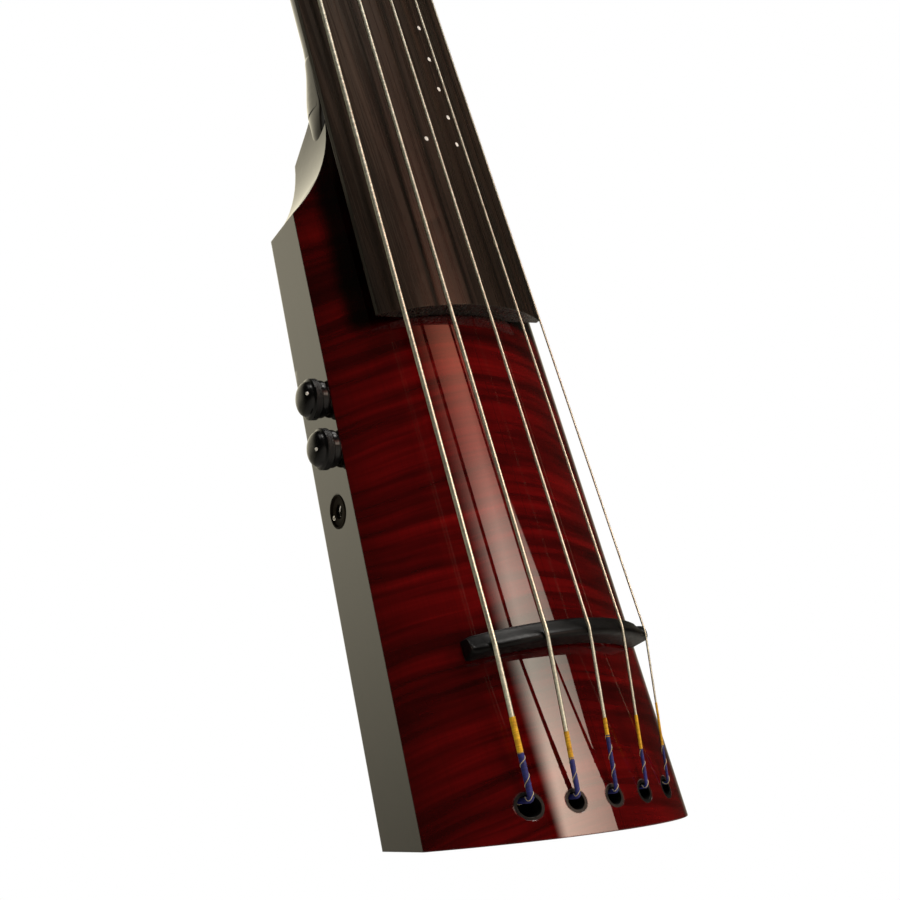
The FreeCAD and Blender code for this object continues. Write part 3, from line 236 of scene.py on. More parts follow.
def top_painted_shade(look, x, z):
    """How bright the red is, as painted shade: less at the bass shoulder, and almost nothing beside and past the
    board, where the fingerboard's shadow is painted onto the top.
    """
    # painted shade: the red is darker at the bass shoulder, upper left
    left = look.math("MULTIPLY", look.spread(x, -0.085, -0.02, 1.0, 0.0), look.spread(z, 0.12, 0.34))
    level = look.blend(left, 1.55, 0.62)
    # painted shadow of the fingerboard: the red is nearly black beside and past the board
    board_low, board_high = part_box("fingerboard")
    board_taper = 0.0338
    edge_line = look.math("MULTIPLY_ADD", look.math("SUBTRACT", z, board_low.z), board_taper, -board_high.x)
    beside = look.spread(look.math("SUBTRACT", x, edge_line), -0.013, -0.002)
    above = look.spread(z, board_low.z - 0.010, board_low.z + 0.004)
    board_shadow = look.spread(look.math("MULTIPLY", beside, above), 0.0, 1.0, 1.0, 0.06)
    return look.math("MULTIPLY", level, board_shadow)


def make_top_look():
    """Transparent red over flamed maple, under thick clear lacquer; the rim is dark lacquer."""
    look = Look("red_top", Roughness=0.55, Coat_Weight=1.0, Coat_Roughness=0.025, Coat_IOR=1.5)
    x, y, z = look.split(look.position)
    wood, fibre = flamed_maple(look, x, y, z)
    level = top_painted_shade(look, x, z)
    # the painted shade and the painted shadow of the fingerboard darken the wood colour here
    wood = look.vector("MULTIPLY", wood, look.join(level, level, level))
    facing_out = look.split(look.surface("True Normal"))[1]
    is_top = look.spread(facing_out, -0.45, -0.35, 1.0, 0.0)
    look.put("Base Color", look.mix(is_top, dark_lacquer_colour(look), wood))
    look.put("Specular IOR Level", 0.0)
    arch = look.vector("NORMALIZE", look.join(x, look.math("SUBTRACT", y, ARCH), 0.0))
    edge = look.away_from_seam(look.rounded(0.0009), -1)
    straight = look.vector("DOT_PRODUCT", edge, look.surface("True Normal"))
    near_edge = look.spread(straight, 0.985, 0.9985, 1.0, 0.0)
    inside = look.math("MULTIPLY", is_top, look.math("SUBTRACT", 1.0, near_edge))
    normal = look.vector("NORMALIZE", look.blend_directions(inside, edge, arch))
    ripple = look.noise(look.position, 55, 2, 0.5)
    look.put("Normal", look.bump(fibre, 0.00003, 0.3, normal))
    look.put("Coat Normal", look.bump(ripple, 0.00004, 0.25, normal))
    look.put("Coat Roughness", look.spread(look.noise(look.position, 160, 3, 0.6), 0.35, 0.8, 0.015, 0.05))
    return look.material


def make_dark_look():
    """Near-black gloss lacquer of body, neck and head."""
    look = Look("dark_body", Coat_Weight=1.0, Coat_IOR=1.5, Roughness=0.5)
    look.put("Base Color", dark_lacquer_colour(look))
    look.put("Specular IOR Level", 0.0)
    edge = look.away_from_seam(look.rounded(0.0012), 1)
    ripple = look.noise(look.position, 45, 2, 0.5)
    look.put("Coat Normal", look.bump(ripple, 0.00005, 0.25, edge))
    look.put("Normal", edge)
    haze = look.noise(look.position, 90, 4, 0.65)
    look.put("Coat Roughness", look.spread(haze, 0.35, 0.85, 0.03, 0.10))
    return look.material


def make_ebony_look():
    """Oiled ebony with long brown and grey streaks and open pores; its bass-side face and its low end are darkened
    with painted shade.
    """
    look = Look("ebony", Coat_Weight=0.06, Coat_Roughness=0.3, Specular_Tint=(1.0, 0.84, 0.66))
    x, y, z = look.split(look.position)
    lean = look.math("ADD", x, look.math("MULTIPLY", z, 0.02))
    leaning = look.join(lean, y, z)
    broad = look.noise(look.scaled(70, 40, 2.2, leaning), 1, 3, 0.6, 0.5)
    thin = look.noise(look.scaled(420, 300, 7, leaning), 1, 4, 0.65, 0.2)
    tone = look.math("ADD", look.math("MULTIPLY", broad, 0.72), look.math("MULTIPLY", thin, 0.28))
    wood = look.ramp(tone, [(0.34, (0.0070, 0.0050, 0.0042)), (0.48, (0.0150, 0.0105, 0.0078)),
                            (0.58, (0.0270, 0.0165, 0.0115)), (0.70, (0.042, 0.0235, 0.0150))])
    pores = look.noise(look.scaled(1500, 1500, 60), 1, 2, 0.5)
    dark = look.spread(pores, 0.62, 0.72, 0.0, 0.7)
    wood = look.mix(dark, wood, (0.004, 0.003, 0.003))
    # painted shade: the bass-side face of the board is darkened
    facing_bass = look.split(look.surface("True Normal"))[0]
    side = look.spread(facing_bass, -0.75, -0.35, 1.0, 0.0)
    # painted shade: the board grows darker towards its low end
    low_end_shade = look.spread(z, 0.27, 0.42, 0.6, 0.0)
    shade = look.math("MAXIMUM", look.math("MULTIPLY", side, 0.85), low_end_shade)
    look.put("Base Color", look.mix(shade, wood, (0.0035, 0.0030, 0.0025)))
    look.put("Specular IOR Level", look.blend(side, look.blend(low_end_shade, 0.40, 0.24), 0.10))
    look.put("Roughness", look.spread(thin, 0.3, 0.7, 0.22, 0.34))
    edge = look.rounded(0.0006)
    relief = look.math("SUBTRACT", thin, look.math("MULTIPLY", dark, 0.6))
    look.put("Normal", look.bump(relief, 0.00012, 0.35, edge))
    look.put("Coat Normal", edge)
    return look.material


def make_metal_look(name, colour, rough):
    """Metal with fine polishing marks, finger haze and small darker patches."""
    look = Look(name, Metallic=1.0)
    wear, edge = 0.12, 0.0003
    marks = look.noise(look.position, 900, 3, 0.6)
    patches = look.noise(look.position, 130, 4, 0.6)
    dark = tuple(part * 0.62 for part in colour)
    look.put("Base Color", look.mix(look.spread(patches, 0.45, 0.8, 0.0, 0.5), colour, dark))
    spots = look.math("ADD", look.math("MULTIPLY", marks, 0.6), look.math("MULTIPLY", patches, 0.4))
    look.put("Roughness", look.spread(spots, 0.3, 0.75, rough, rough + wear))
    look.put("Normal", look.bump(marks, 0.00001, 0.25, look.rounded(edge)))
    return look.material


def make_string_look():
    """Ground flat-wound steel: pale down the middle, with painted shade making it darker where it turns away from
    the camera.
    """
    look = Look("string_wire", Metallic=1.0)
    turning = look.node("ShaderNodeLayerWeight")
    turning.inputs["Blend"].default_value = 0.5
    marks = look.noise(look.scaled(300, 300, 1500), 1, 3, 0.6)
    pale = look.ramp(marks, [(0.3, (0.74, 0.74, 0.60)), (0.7, (0.98, 0.99, 0.84))])
    # painted shade: the steel's colour darkens towards the edges that turn away from the camera
    away = look.spread(turning.outputs["Facing"], 0.35, 0.85)
    look.put("Base Color", look.mix(away, pale, (0.07, 0.065, 0.045)))
    look.put("Roughness", look.spread(marks, 0.3, 0.7, 0.34, 0.46))
    return look.material


def make_black_look(name, colour, rough, grain, depth, edge, shine):
    """Black pieces: fine moulded or brushed texture, slight dust in the tone."""
    look = Look(name)
    look.put("Specular IOR Level", shine)
    fine = look.noise(look.position, grain, 3, 0.6)
    broad = look.noise(look.position, 60, 3, 0.6)
    light = tuple(part * 2.0 + 0.004 for part in colour)
    look.put("Base Color", look.mix(look.spread(broad, 0.4, 0.8, 0.0, 0.6), colour, light))
    look.put("Roughness", look.spread(fine, 0.3, 0.8, rough, rough + 0.14))
    look.put("Normal", look.bump(fine, depth, 0.4, look.rounded(edge)))
    return look.material


def make_thread_look(name, colour, shade, sheen=0.4):
    """Silk wrapped round a string: tone varies turn by turn."""
    look = Look(name, Roughness=0.62, Sheen_Weight=sheen, Sheen_Roughness=0.4)
    turns = look.noise(look.scaled(150, 150, 1900), 1, 2, 0.6)
    broad = look.noise(look.position, 260, 2, 0.5)
    tone = look.math("ADD", look.math("MULTIPLY", turns, 0.6), look.math("MULTIPLY", broad, 0.4))
    look.put("Base Color", look.ramp(tone, [(0.35, shade), (0.62, colour)]))
    look.put("Normal", look.bump(turns, 0.00006, 0.5))
    return look.material


def make_bone_look():
    """The nut: pale bone with fine lengthwise fibres."""
    look = Look("bone", Roughness=0.4, Coat_Weight=0.3, Coat_Roughness=0.2, Subsurface_Weight=0.08)
    fibre = look.noise(look.scaled(1300, 1300, 160), 1, 3, 0.6)
    broad = look.noise(look.position, 120, 3, 0.6)
    tone = look.math("ADD", look.math("MULTIPLY", fibre, 0.5), look.math("MULTIPLY", broad, 0.5))
    look.put("Base Color", look.ramp(tone, [(0.35, (0.58, 0.49, 0.33)), (0.65, (0.80, 0.74, 0.60))]))
    look.put("Normal", look.bump(fibre, 0.00003, 0.3, look.rounded(0.0005)))
    return look.material


def make_shell_look():
    """White inlay of the board's and knobs' dots."""
    look = Look("white_inlay", Roughness=0.25, Coat_Weight=0.6, Coat_Roughness=0.08)
    broad = look.noise(look.position, 700, 3, 0.6)
    look.put("Base Color", look.ramp(broad, [(0.3, (0.72, 0.71, 0.66)), (0.7, (0.92, 0.92, 0.90))]))
    return look.material


def make_board_look():
    """Green solder mask of the preamp's circuit board."""
    look = Look("circuit", Roughness=0.4, Coat_Weight=0.4)
    cells = look.voronoi(look.position, 420)
    look.put("Base Color", look.ramp(cells, [(0.2, (0.02, 0.16, 0.06)), (0.5, (0.01, 0.08, 0.03))]))
    look.put("Normal", look.bump(cells, 0.0001, 0.4))
    return look.material


LOOKS = {
    "red_top": make_top_look(),
    "dark_body": make_dark_look(),
    "ebony": make_ebony_look(),
    "black_bridge": make_black_look("black_bridge", (0.0022, 0.0020, 0.0020), rough=0.30, grain=500,
                                    depth=0.00002, edge=0.0009, shine=0.10),
    "white_inlay": make_shell_look(),
    "bone": make_bone_look(),
    "steel": make_metal_look("steel", (0.50, 0.49, 0.47), 0.28),
    "string_wire": make_string_look(),
    "brass": make_metal_look("brass", (0.70, 0.50, 0.20), 0.25),
    "nickel": make_metal_look("nickel", (0.68, 0.66, 0.62), 0.12),
    "black_knob": make_black_look("black_knob", (0.0025, 0.0025, 0.0027), rough=0.16, grain=900,
                                  depth=0.00001, edge=0.0005, shine=0.22),
    "black_plastic": make_black_look("black_plastic", (0.010, 0.007, 0.004), rough=0.65, grain=1400,
                                     depth=0.00005, edge=0.0004, shine=0.05),
    "circuit": make_board_look(),
    "lead": make_black_look("lead", (0.012, 0.012, 0.014), rough=0.5, grain=700,
                            depth=0.00003, edge=0.0005, shine=0.5),
}
SILK_GOLD = make_thread_look("silk_gold", (0.88, 0.52, 0.010), (0.46, 0.20, 0.003), 0.1)
SILK_BLUE = make_thread_look("silk_blue", (0.016, 0.022, 0.22), (0.005, 0.006, 0.055), 0.1)
SILK_CREAM = make_thread_look("silk_cream", (0.72, 0.62, 0.38), (0.42, 0.33, 0.15))
DARK_NICKEL = make_metal_look("dark_nickel", (0.030, 0.029, 0.028), 0.42)

slots = {row["node"]: row["material_slot"] for row in frame["record"]["subparts"]}
for node, thing in frame["nodes"].items():
    thing.data.materials.clear()
    thing.data.materials.append(LOOKS[slots[node]])
for node in ("string_ferrules", "string_collars"):
    frame["nodes"][node].data.materials[0] = DARK_NICKEL


# ---------------------------------------------------------------- mesh helpers
def add_to_scene(name, data):
    thing = bpy.data.objects.new(name, data)
    bpy.context.scene.collection.objects.link(thing)
    return thing


def build(name, points, faces, look, body, nodes=(), slot=None):
    """A smooth-shaded mesh piece that rides on a body and may stand for CAD nodes."""
    mesh = bpy.data.meshes.new(name)
    mesh.from_pydata([tuple(point) for point in points], [], faces)
    mesh.polygons.foreach_set("use_smooth", [True] * len(mesh.polygons))
    mesh.materials.append(look)
    mesh.update()
    thing = add_to_scene(name, mesh)
    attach(thing, body)
    if nodes:
        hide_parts(*nodes)


def ring_faces(rings, count, closed=False):
    """Quads between rings of count points; the last ring joins the first when closed."""
    faces = []
    for ring in range(rings if closed else rings - 1):
        below, above = ring * count, ((ring + 1) % rings) * count
        for k in range(count):
            following = (k + 1) % count
            faces.append((below + k, below + following, above + following, above + k))
    return faces


def capped(faces, rings, count):
    """Side faces of a stack of rings, with a face over each end."""
    last = (rings - 1) * count
    return faces + [tuple(reversed(range(count))), tuple(last + k for k in range(count))]


def frame_at(position, axis):
    """Matrix whose local Z is axis."""
    ahead = Vector(axis).normalized()
    side = UP.cross(ahead)
    side = side.normalized() if side.length > 1e-6 else Vector((1, 0, 0))
    turn = Matrix((side, ahead.cross(side), ahead)).transposed().to_4x4()
    return Matrix.Translation(Vector(position)) @ turn


def in_metres(profile):
    return [(radius * MM, height * MM) for radius, height in profile]


def spin(profile, place, segments, relief=None, hollow=False):
    """A turned piece: profile is (radius, height), place a matrix, relief a change of radius.

    A hollow piece's profile closes on itself; any other gets a face over each end.
    """
    points = []
    for radius, height in profile:
        for k in range(segments):
            angle = 2 * math.pi * k / segments
            reach = radius + (relief(angle, radius, height) if relief else 0.0)
            points.append(place @ Vector((reach * math.cos(angle), reach * math.sin(angle), height)))
    if hollow:
        return points, ring_faces(len(profile), segments, closed=True)
    return points, capped(ring_faces(len(profile), segments), len(profile), segments)


def rounded_path(corners, bend, step):
    """Points along a polyline whose inner corners are eased by a quadratic bend."""
    path = [Vector(corners[0])]
    for before, corner, after in zip(corners, corners[1:], corners[2:]):
        before, corner, after = Vector(before), Vector(corner), Vector(after)
        reach_in = min(bend, (corner - before).length * 0.45)
        reach_out = min(bend, (after - corner).length * 0.45)
        first = corner + (before - corner).normalized() * reach_in
        last = corner + (after - corner).normalized() * reach_out
        pieces = 8
        for k in range(pieces + 1):
            t = k / pieces
            path.append(first.lerp(corner, t).lerp(corner.lerp(last, t), t))
    path.append(Vector(corners[-1]))
    dense = [path[0]]
    for start, end in zip(path, path[1:]):
        count = max(1, int((end - start).length / step))
        dense += [start.lerp(end, (k + 1) / count) for k in range(count)]
    return dense


class Rail:
    """Position and a steady cross frame at any distance along a path."""

    def __init__(self, points):
        self.points = points
        self.at = [0.0]
        for start, end in zip(points, points[1:]):
            self.at.append(self.at[-1] + (end - start).length)
        self.length = self.at[-1]
        self.frames = []
        ahead = (points[1] - points[0]).normalized()
        side = ahead.orthogonal().normalized()
        for k, point in enumerate(points):
            before, after = points[max(k - 1, 0)], points[min(k + 1, len(points) - 1)]
            ahead = (after - before).normalized()
            side = (side - ahead * side.dot(ahead)).normalized()
            self.frames.append((side.copy(), ahead.cross(side)))
        self.cursor = 0

    def point(self, distance, angle, radius):
        """Point at a distance along the path, off it by radius at an angle."""
        distance = min(max(distance, 0.0), self.length)
        if self.at[self.cursor] > distance:
            self.cursor = 0
        while self.cursor < len(self.points) - 2 and self.at[self.cursor + 1] < distance:
            self.cursor += 1
        k = self.cursor
        share = (distance - self.at[k]) / max(self.at[k + 1] - self.at[k], 1e-9)
        centre = self.points[k].lerp(self.points[k + 1], share)
        side, over = (a.lerp(b, share) for a, b in zip(self.frames[k], self.frames[k + 1]))
        return centre + (side * math.cos(angle) + over * math.sin(angle)) * radius


def coil_tube(rail, start, end, radius, pitch, depth, sides, per_turn, fray=None):
    """A wound tube: each turn of wire is a ridge that climbs one pitch per turn.

    Fray gives a small extra radius at a distance along the rail.
    """
    points = []
    rows = max(3, int((end - start) / pitch * per_turn))
    for row in range(rows + 1):
        base = start + (end - start) * row / rows
        for k in range(sides):
            share = k / sides
            phase = row / per_turn - share
            ridge = depth * (abs(math.sin(math.pi * phase)) - 1.0)
            grown = radius + ridge + (fray(base) if fray else 0.0)
            points.append(rail.point(base, 2 * math.pi * share, grown))
    return points, capped(ring_faces(rows + 1, sides), rows + 1, sides)


# ---------------------------------------------------------------- strings and silk
RADIUS = {"b": 1.35, "e": 1.1, "a": 0.85, "d": 0.7, "g": 0.5}      # of each string, mm
# upper ends of the gold and the blue silk, mm up from the bridge, so below it
SILK_ENDS = {"b": (-37, -51), "e": (-46, -58), "a": (-43, -53), "d": (-44, -57), "g": (-37, -55.5)}
BASS_SIDE_TUNERS = "bea"
STRING_LIFT = 17.0           # the middle string runs this far above the crown of the top, mm
BRIDGE_PITCH, BRIDGE_ARC = 24.3, 99.0      # string spacing and arc radius at the bridge, mm
NUT_PITCH, NUT_ARC = 9.35, 76.0            # the same at the nut
NUT_HEIGHT = 1152.3
HOLE_PITCH, HOLE_HEIGHT = 22.0, 16.3       # string holes: spacing, and height on the crown, mm
TOP_ARC = 106.0              # the top's arch, in mm like the arcs above
CAPSTAN_RADIUS, WRAP_DROP = 4.5, 32        # of a post, and from its joint to the string's first turn, mm
joints = {joint["name"]: joint for joint in frame["joints"]}


def arc_point(step, pitch, arc, line):
    """Seat of a string on an arc: step is -2 for the thickest string, 2 for the thinnest."""
    x = step * pitch
    y = -STRING_LIFT + arc - math.sqrt(arc * arc - x * x)
    return Vector((x, y, line)) * MM


def hole_frame(step):
    """Mouth of a string's hole in the top, and the direction that the hole takes."""
    x = step * HOLE_PITCH
    y = TOP_ARC - math.sqrt(TOP_ARC ** 2 - x * x)
    into = Vector((0, 1, TAIL_SLANT)).normalized()
    return Vector((x, y, HOLE_HEIGHT + TAIL_SLANT * y)) * MM, into


def string_path(name):
    """Corners of a string: ball end, lip of its hole, bridge, nut and post."""
    step = STRINGS.index(name) - 2
    mouth, into = hole_frame(step)
    over = Vector((0, -TAIL_SLANT, 1)).normalized()
    rise = (2.0 + (0.8 if name == "b" else 0.0)) * MM
    lip = mouth + over * rise - into * 1.7 * MM
    back = mouth + into * 62 * MM
    capstan = Vector(joints[f"capstan_{name}_turn"]["pos_m"])
    spindle = Vector(joints[f"capstan_{name}_turn"]["axis"]).normalized()
    inward = Vector((1 if name in BASS_SIDE_TUNERS else -1, 0, 0))
    wrap = capstan - spindle * WRAP_DROP * MM + inward * (CAPSTAN_RADIUS + RADIUS[name] + 0.06) * MM
    seat = arc_point(step, BRIDGE_PITCH, BRIDGE_ARC, BRIDGE_LINE / MM)
    return [back, lip, seat, arc_point(step, NUT_PITCH, NUT_ARC, NUT_HEIGHT), wrap]


def make_string(name):
    """One wound string, with the gold, blue and cream silk on its tail end."""
    step = STRINGS.index(name) - 2
    corners = string_path(name)
    radius = RADIUS[name] * MM
    rail = Rail(rounded_path(corners, 1.6 * MM, 4 * MM))
    pitch = 0.55 * MM if name in "be" else 0.42 * MM
    wire = coil_tube(rail, 0.0, rail.length, radius, pitch, 0.022 * MM, 12, 3)
    build(f"wire_{name}", *wire, LOOKS["string_wire"], "instrument", [f"string_{name}"], "string_wire")

    def reach(line):
        """Distance along the string where it passes a height above the tail."""
        for k, point in enumerate(rail.points[1:], start=1):
            if point.z > line and rail.at[k] > 0.02 and point.y < 0.03:
                return rail.at[k]
        return 0.0

    def fray(at):
        return 0.04 * MM * math.sin(at * 2900 + step) + 0.03 * MM * math.sin(at * 7100)

    gold_top, blue_top = (BRIDGE_LINE + mark * MM for mark in SILK_ENDS[name])
    inside = (corners[1] - corners[0]).length - 9 * MM
    gold_end, blue_end = reach(gold_top), reach(blue_top)
    gold = coil_tube(rail, blue_end - 1 * MM, gold_end, radius + 0.12 * MM, 0.36 * MM, 0.06 * MM, 14, 4)
    build(f"silk_gold_{name}", *gold, SILK_GOLD, "instrument")
    blue = coil_tube(rail, inside, blue_end, radius + 0.16 * MM, 0.40 * MM, 0.07 * MM, 14, 4, fray)
    build(f"silk_blue_{name}", *blue, SILK_BLUE, "instrument")
    turns = []
    turn, at = 0.0, inside
    turn_step, spacing = 0.33, 8.6 * MM      # angle between points; distance between turns
    while at < blue_end:
        turns.append(rail.point(at, turn, radius + 0.24 * MM))
        turn += turn_step
        at += turn_step / (2 * math.pi) * spacing * (1 + 0.25 * math.sin(turn * 0.7 + step))
    thread = Rail(turns)
    cream = coil_tube(thread, 0.0, thread.length, 0.17 * MM, 0.5 * MM, 0.02 * MM, 7, 2)
    build(f"silk_cream_{name}", *cream, SILK_CREAM, "instrument")


def make_winding(name):
    """The turns of a string round its capstan."""
    joint = joints[f"capstan_{name}_turn"]
    spindle = Vector(joint["axis"]).normalized()
    radius = RADIUS[name] * MM
    place = frame_at(Vector(joint["pos_m"]) - spindle * WRAP_DROP * MM, -spindle)
    reach = CAPSTAN_RADIUS * MM + radius + 0.03 * MM
    turns_round, turn_step = 3.2, 0.2
    drop = radius * 2.06 / (2 * math.pi)     # turns lie side by side, a little apart
    turns = []
    for k in range(int(2 * math.pi * turns_round / turn_step)):
        angle = k * turn_step
        turns.append(place @ Vector((reach * math.cos(angle), reach * math.sin(angle), -angle * drop)))
    rail = Rail(turns)
    wound = coil_tube(rail, 0.0, rail.length, radius, 0.55 * MM, 0.05 * MM, 10, 3)
    build(f"winding_{name}", *wound, LOOKS["string_wire"], f"capstan_{name}", (), "string_wire")


for name in STRINGS:
    make_string(name)
    make_winding(name)


# ---------------------------------------------------------------- bridge
BRIDGE_HALF, FOOT_HALF = 57 * MM, 54 * MM      # half the length of the crest and of the foot
CREST_SINK = 0.8 * MM        # the crest lies this far below the strings' centres
FOOT_GAP = 1.2 * MM          # air between the foot and the arched top
RING = 20                    # points round one section


def bridge_section(crest, base, rear, fore, crest_line):
    """(y, z) points round one section: flat crest, slope towards the neck, rounded edges."""
    tall, deep = base - crest, fore - rear
    slope = min(5.5 * MM, tall * 0.62)
    top = [(0.0, crest_line * 0.42), (0.0, crest_line * 0.80), (0.05, crest_line * 1.12),
           (0.30, deep * 0.44), (0.62, deep * 0.64), (0.90, deep * 0.84), (1.02, deep * 0.94)]
    ring = [(crest + slope * fall, rear + run) for fall, run in top]
    ring += [(crest + slope + tall * 0.08, fore - 0.2 * MM), (crest + slope + tall * 0.14, fore)]
    front = [(0.12, 0.0), (0.05, 0.2), (0.01, 0.6), (0.0, 1.4)]
    ring += [(base - tall * share, fore - inset * MM) for share, inset in front]
    ring.append((base, (rear + fore) / 2))
    ring += [(base - tall * share, rear + inset * MM) for share, inset in reversed(front)]
    ring += [(crest + tall * 0.16, rear), (crest + tall * 0.05, rear + 0.4 * MM)]
    return ring


def make_bridge():
    """A slim boat: crest over the strings' line, a slope towards the neck, rounded ends."""
    low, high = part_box("bridge")
    back, front = low.z, high.z
    waist = (back + front) / 2
    seat = BRIDGE_ARC * MM - CREST_SINK
    centre = (BRIDGE_ARC - STRING_LIFT) * MM
    foot = ARCH + FOOT_GAP
    flank = ARCH - math.sqrt(foot ** 2 - FOOT_HALF ** 2)
    tip = centre - math.sqrt(seat ** 2 - BRIDGE_HALF ** 2)
    sections = 120
    points = []
    for k in range(sections + 1):
        bow = math.sin((-1 + 2 * k / sections) * math.pi / 2)
        x, near = bow * BRIDGE_HALF, abs(bow)
        crest = centre - math.sqrt(seat ** 2 - x * x)
        if abs(x) < FOOT_HALF:
            base = ARCH - math.sqrt(foot ** 2 - x * x)
        else:
            run = (abs(x) - FOOT_HALF) / (BRIDGE_HALF - FOOT_HALF)
            base = flank + (tip + 1.6 * MM - flank) * run
        nose = math.sqrt(max(0.0, 1 - max(0.0, (near - 0.90) / 0.10) ** 2))
        thin = 0.25 + 0.75 * nose if x > 0 else 0.12 + 0.88 * nose
        middle = (crest + base) / 2
        crest, base = middle + (crest - middle) * thin, middle + (base - middle) * thin
        width = 0.30 + 0.70 * nose if near > 0.9 else 1.0
        rear, fore = waist + (back - waist) * width, waist + (front - waist) * width
        points += [(x, y, z) for y, z in bridge_section(crest, base, rear, fore, BRIDGE_LINE - back)]
    for index, (x, y, z) in enumerate(points):
        top = centre - math.sqrt(seat ** 2 - x * x)
        for step, name in enumerate(STRINGS, start=-2):
            notch = RADIUS[name] * MM * 1.5
            gap = abs(x - step * BRIDGE_PITCH * MM)
            if gap < notch and y < top + 1.2 * MM:
                y = max(y, top + (notch - gap) * 0.45)
        points[index] = (x, y, z)
    faces = capped(ring_faces(sections + 1, RING), sections + 1, RING)
    build("bridge_bar", points, faces, LOOKS["black_bridge"], "bridge", ["bridge"], "black_bridge")


make_bridge()


# ---------------------------------------------------------------- knobs
# all in mm: where the domed end starts along the knob's axis, its height and its radius
DOME_BASE, DOME_RISE, BARREL = 9.1, 4.6, 8.6
BAND_LOW, BAND_HIGH, BAND_RADIUS, BAND_ROWS = 5.2, 8.2, 10.0, 30
DIAMONDS, DIAMOND_HEIGHT, KNURL_DEPTH = 44, 1.3, 0.55
KNOB_SEGMENTS = 352          # eight to a diamond
# each dot's height on the dome and direction from the axis, set so that it shows where the photo has it
DOTS = {"volume": (11.9, (-0.1986, -0.9800, 0.0129)), "tone": (12.7, (-0.2084, -0.9086, -0.3619))}


def knob_profile():
    """(radius, height) in mm from the foot over the knurled band to the domed end."""
    foot = [(3.02, 4.4), (7.2, 4.4), (7.2, 0.8), (8.0, 0.8), (8.5, 1.0), (8.9, 1.5), (9.1, 2.2), (9.1, 3.2),
            (9.05, 4.0), (9.1, 4.5), (9.45, 4.9), (9.9, 5.15)]
    band = [(BAND_RADIUS, BAND_LOW + (BAND_HIGH - BAND_LOW) * k / BAND_ROWS) for k in range(BAND_ROWS + 1)]
    dome = [(9.7, 8.4), (9.2, 8.7), (8.85, 9.0)]
    rise, steps = DOME_RISE - 0.02, 16
    for k in range(steps):
        angle = math.pi / 2 * k / steps
        dome.append((BARREL * math.cos(angle), DOME_BASE + rise * math.sin(angle)))
    dome.append((0.3, DOME_BASE + rise))
    return foot + band + dome


def knurl(angle, radius, height):
    """Depth that the diamond pattern takes off the band."""
    tall = height / MM
    if not BAND_LOW <= tall <= BAND_HIGH or abs(radius - BAND_RADIUS * MM) > 1e-6:
        return 0.0
    run = (tall - BAND_LOW) * 2 * math.pi / DIAMOND_HEIGHT
    one, other = (abs(math.sin((DIAMONDS * angle + way * run) / 2)) for way in (1, -1))
    edge = min(1.0, (tall - BAND_LOW) / 0.3, (BAND_HIGH - tall) / 0.3)
    return -KNURL_DEPTH * MM * (1 - max(one, other)) * edge


def make_knob(label):
    """A black barrel with a domed end, a raised knurled band, a rounded foot and its white dot."""
    joint = joints[f"{label}_turn"]
    axis = Vector(joint["axis"]).normalized()
    centre = Vector(joint["pos_m"])
    body = f"{label}_control"
    turned = spin(in_metres(knob_profile()), frame_at(centre, axis), KNOB_SEGMENTS, knurl)
    build(f"{label}_knob_turned", *turned, LOOKS["black_knob"], body, [f"{label}_knob"], "black_knob")
    height, out = DOTS[label]
    out = Vector(out).normalized()
    radius = BARREL * math.sqrt(1 - ((height - DOME_BASE) / DOME_RISE) ** 2)
    spot = centre + out * radius * MM + axis * height * MM
    normal = (out * radius / BARREL ** 2 + axis * (height - DOME_BASE) / DOME_RISE ** 2).normalized()
    pin = [(0.02, -0.4), (0.85, -0.4), (0.85, 0.05), (0.72, 0.16), (0.40, 0.24), (0.05, 0.26)]
    dot = spin(in_metres(pin), frame_at(spot, normal), 32)
    build(f"{label}_dot_pin", *dot, LOOKS["white_inlay"], body, [f"{label}_dot"], "white_inlay")


for label in ("volume", "tone"):
    make_knob(label)


# ---------------------------------------------------------------- heel
# all in mm
BOARD_START, BOARD_LENGTH = 264.0, 888.3
BOARD_HALF, BOARD_TAPER = 52.5, 30.0       # half width at the start, and how much it loses by the nut
NECK_START, NECK_LENGTH = 385.0, 767.3     # where the neck leaves the body
HEEL_LENGTH, HEEL_INSET = 34, 3.25         # the neck is this much narrower than the board at the heel
HEEL_DEPTH, SHAFT_DEPTH, SHAFT_TAPER = 36.0, 21.0, 11.0
BODY_HALF, BODY_REACH = 45.15, 27          # half width at the neck, and how far the piece reaches down
HEEL_LINES = (358, 364, 370, 374, 378, 381, 384, 387, 390, 394, 398, 402, 406, 409, 411)
SKIN = 0.15                  # it lies this far over body and neck, and ends this far inside the neck


def eased(share):
    return share * share * (3 - 2 * share)


def heel_slice(line):
    """Half width, side start, depth and roundness of the heel at a height, in mm."""
    rise = max(line - NECK_START, 0.0)
    ease = eased(min(rise / HEEL_LENGTH, 1.0))
    run = rise / NECK_LENGTH
    along = (line - BOARD_START) / BOARD_LENGTH
    half = BOARD_HALF - BOARD_TAPER * along - (HEEL_INSET - 0.05) * (1 - 0.6 * ease) * (1 - run) - 0.05
    depth = HEEL_DEPTH + ease * (SHAFT_DEPTH - SHAFT_TAPER * run - HEEL_DEPTH)
    corner = 5.0 - 14.0 * along
    if line < NECK_START:
        below = (NECK_START - line) / BODY_REACH
        half = BODY_HALF * (1 - 0.14 * below ** 1.4)
        corner += min(1.0, below * 2.2) * 8.5
    fade = max(0.0, min(1.0, (line - NECK_START - 1) / 22))
    return half, corner, depth, 2.85 - 0.47 * eased(fade)


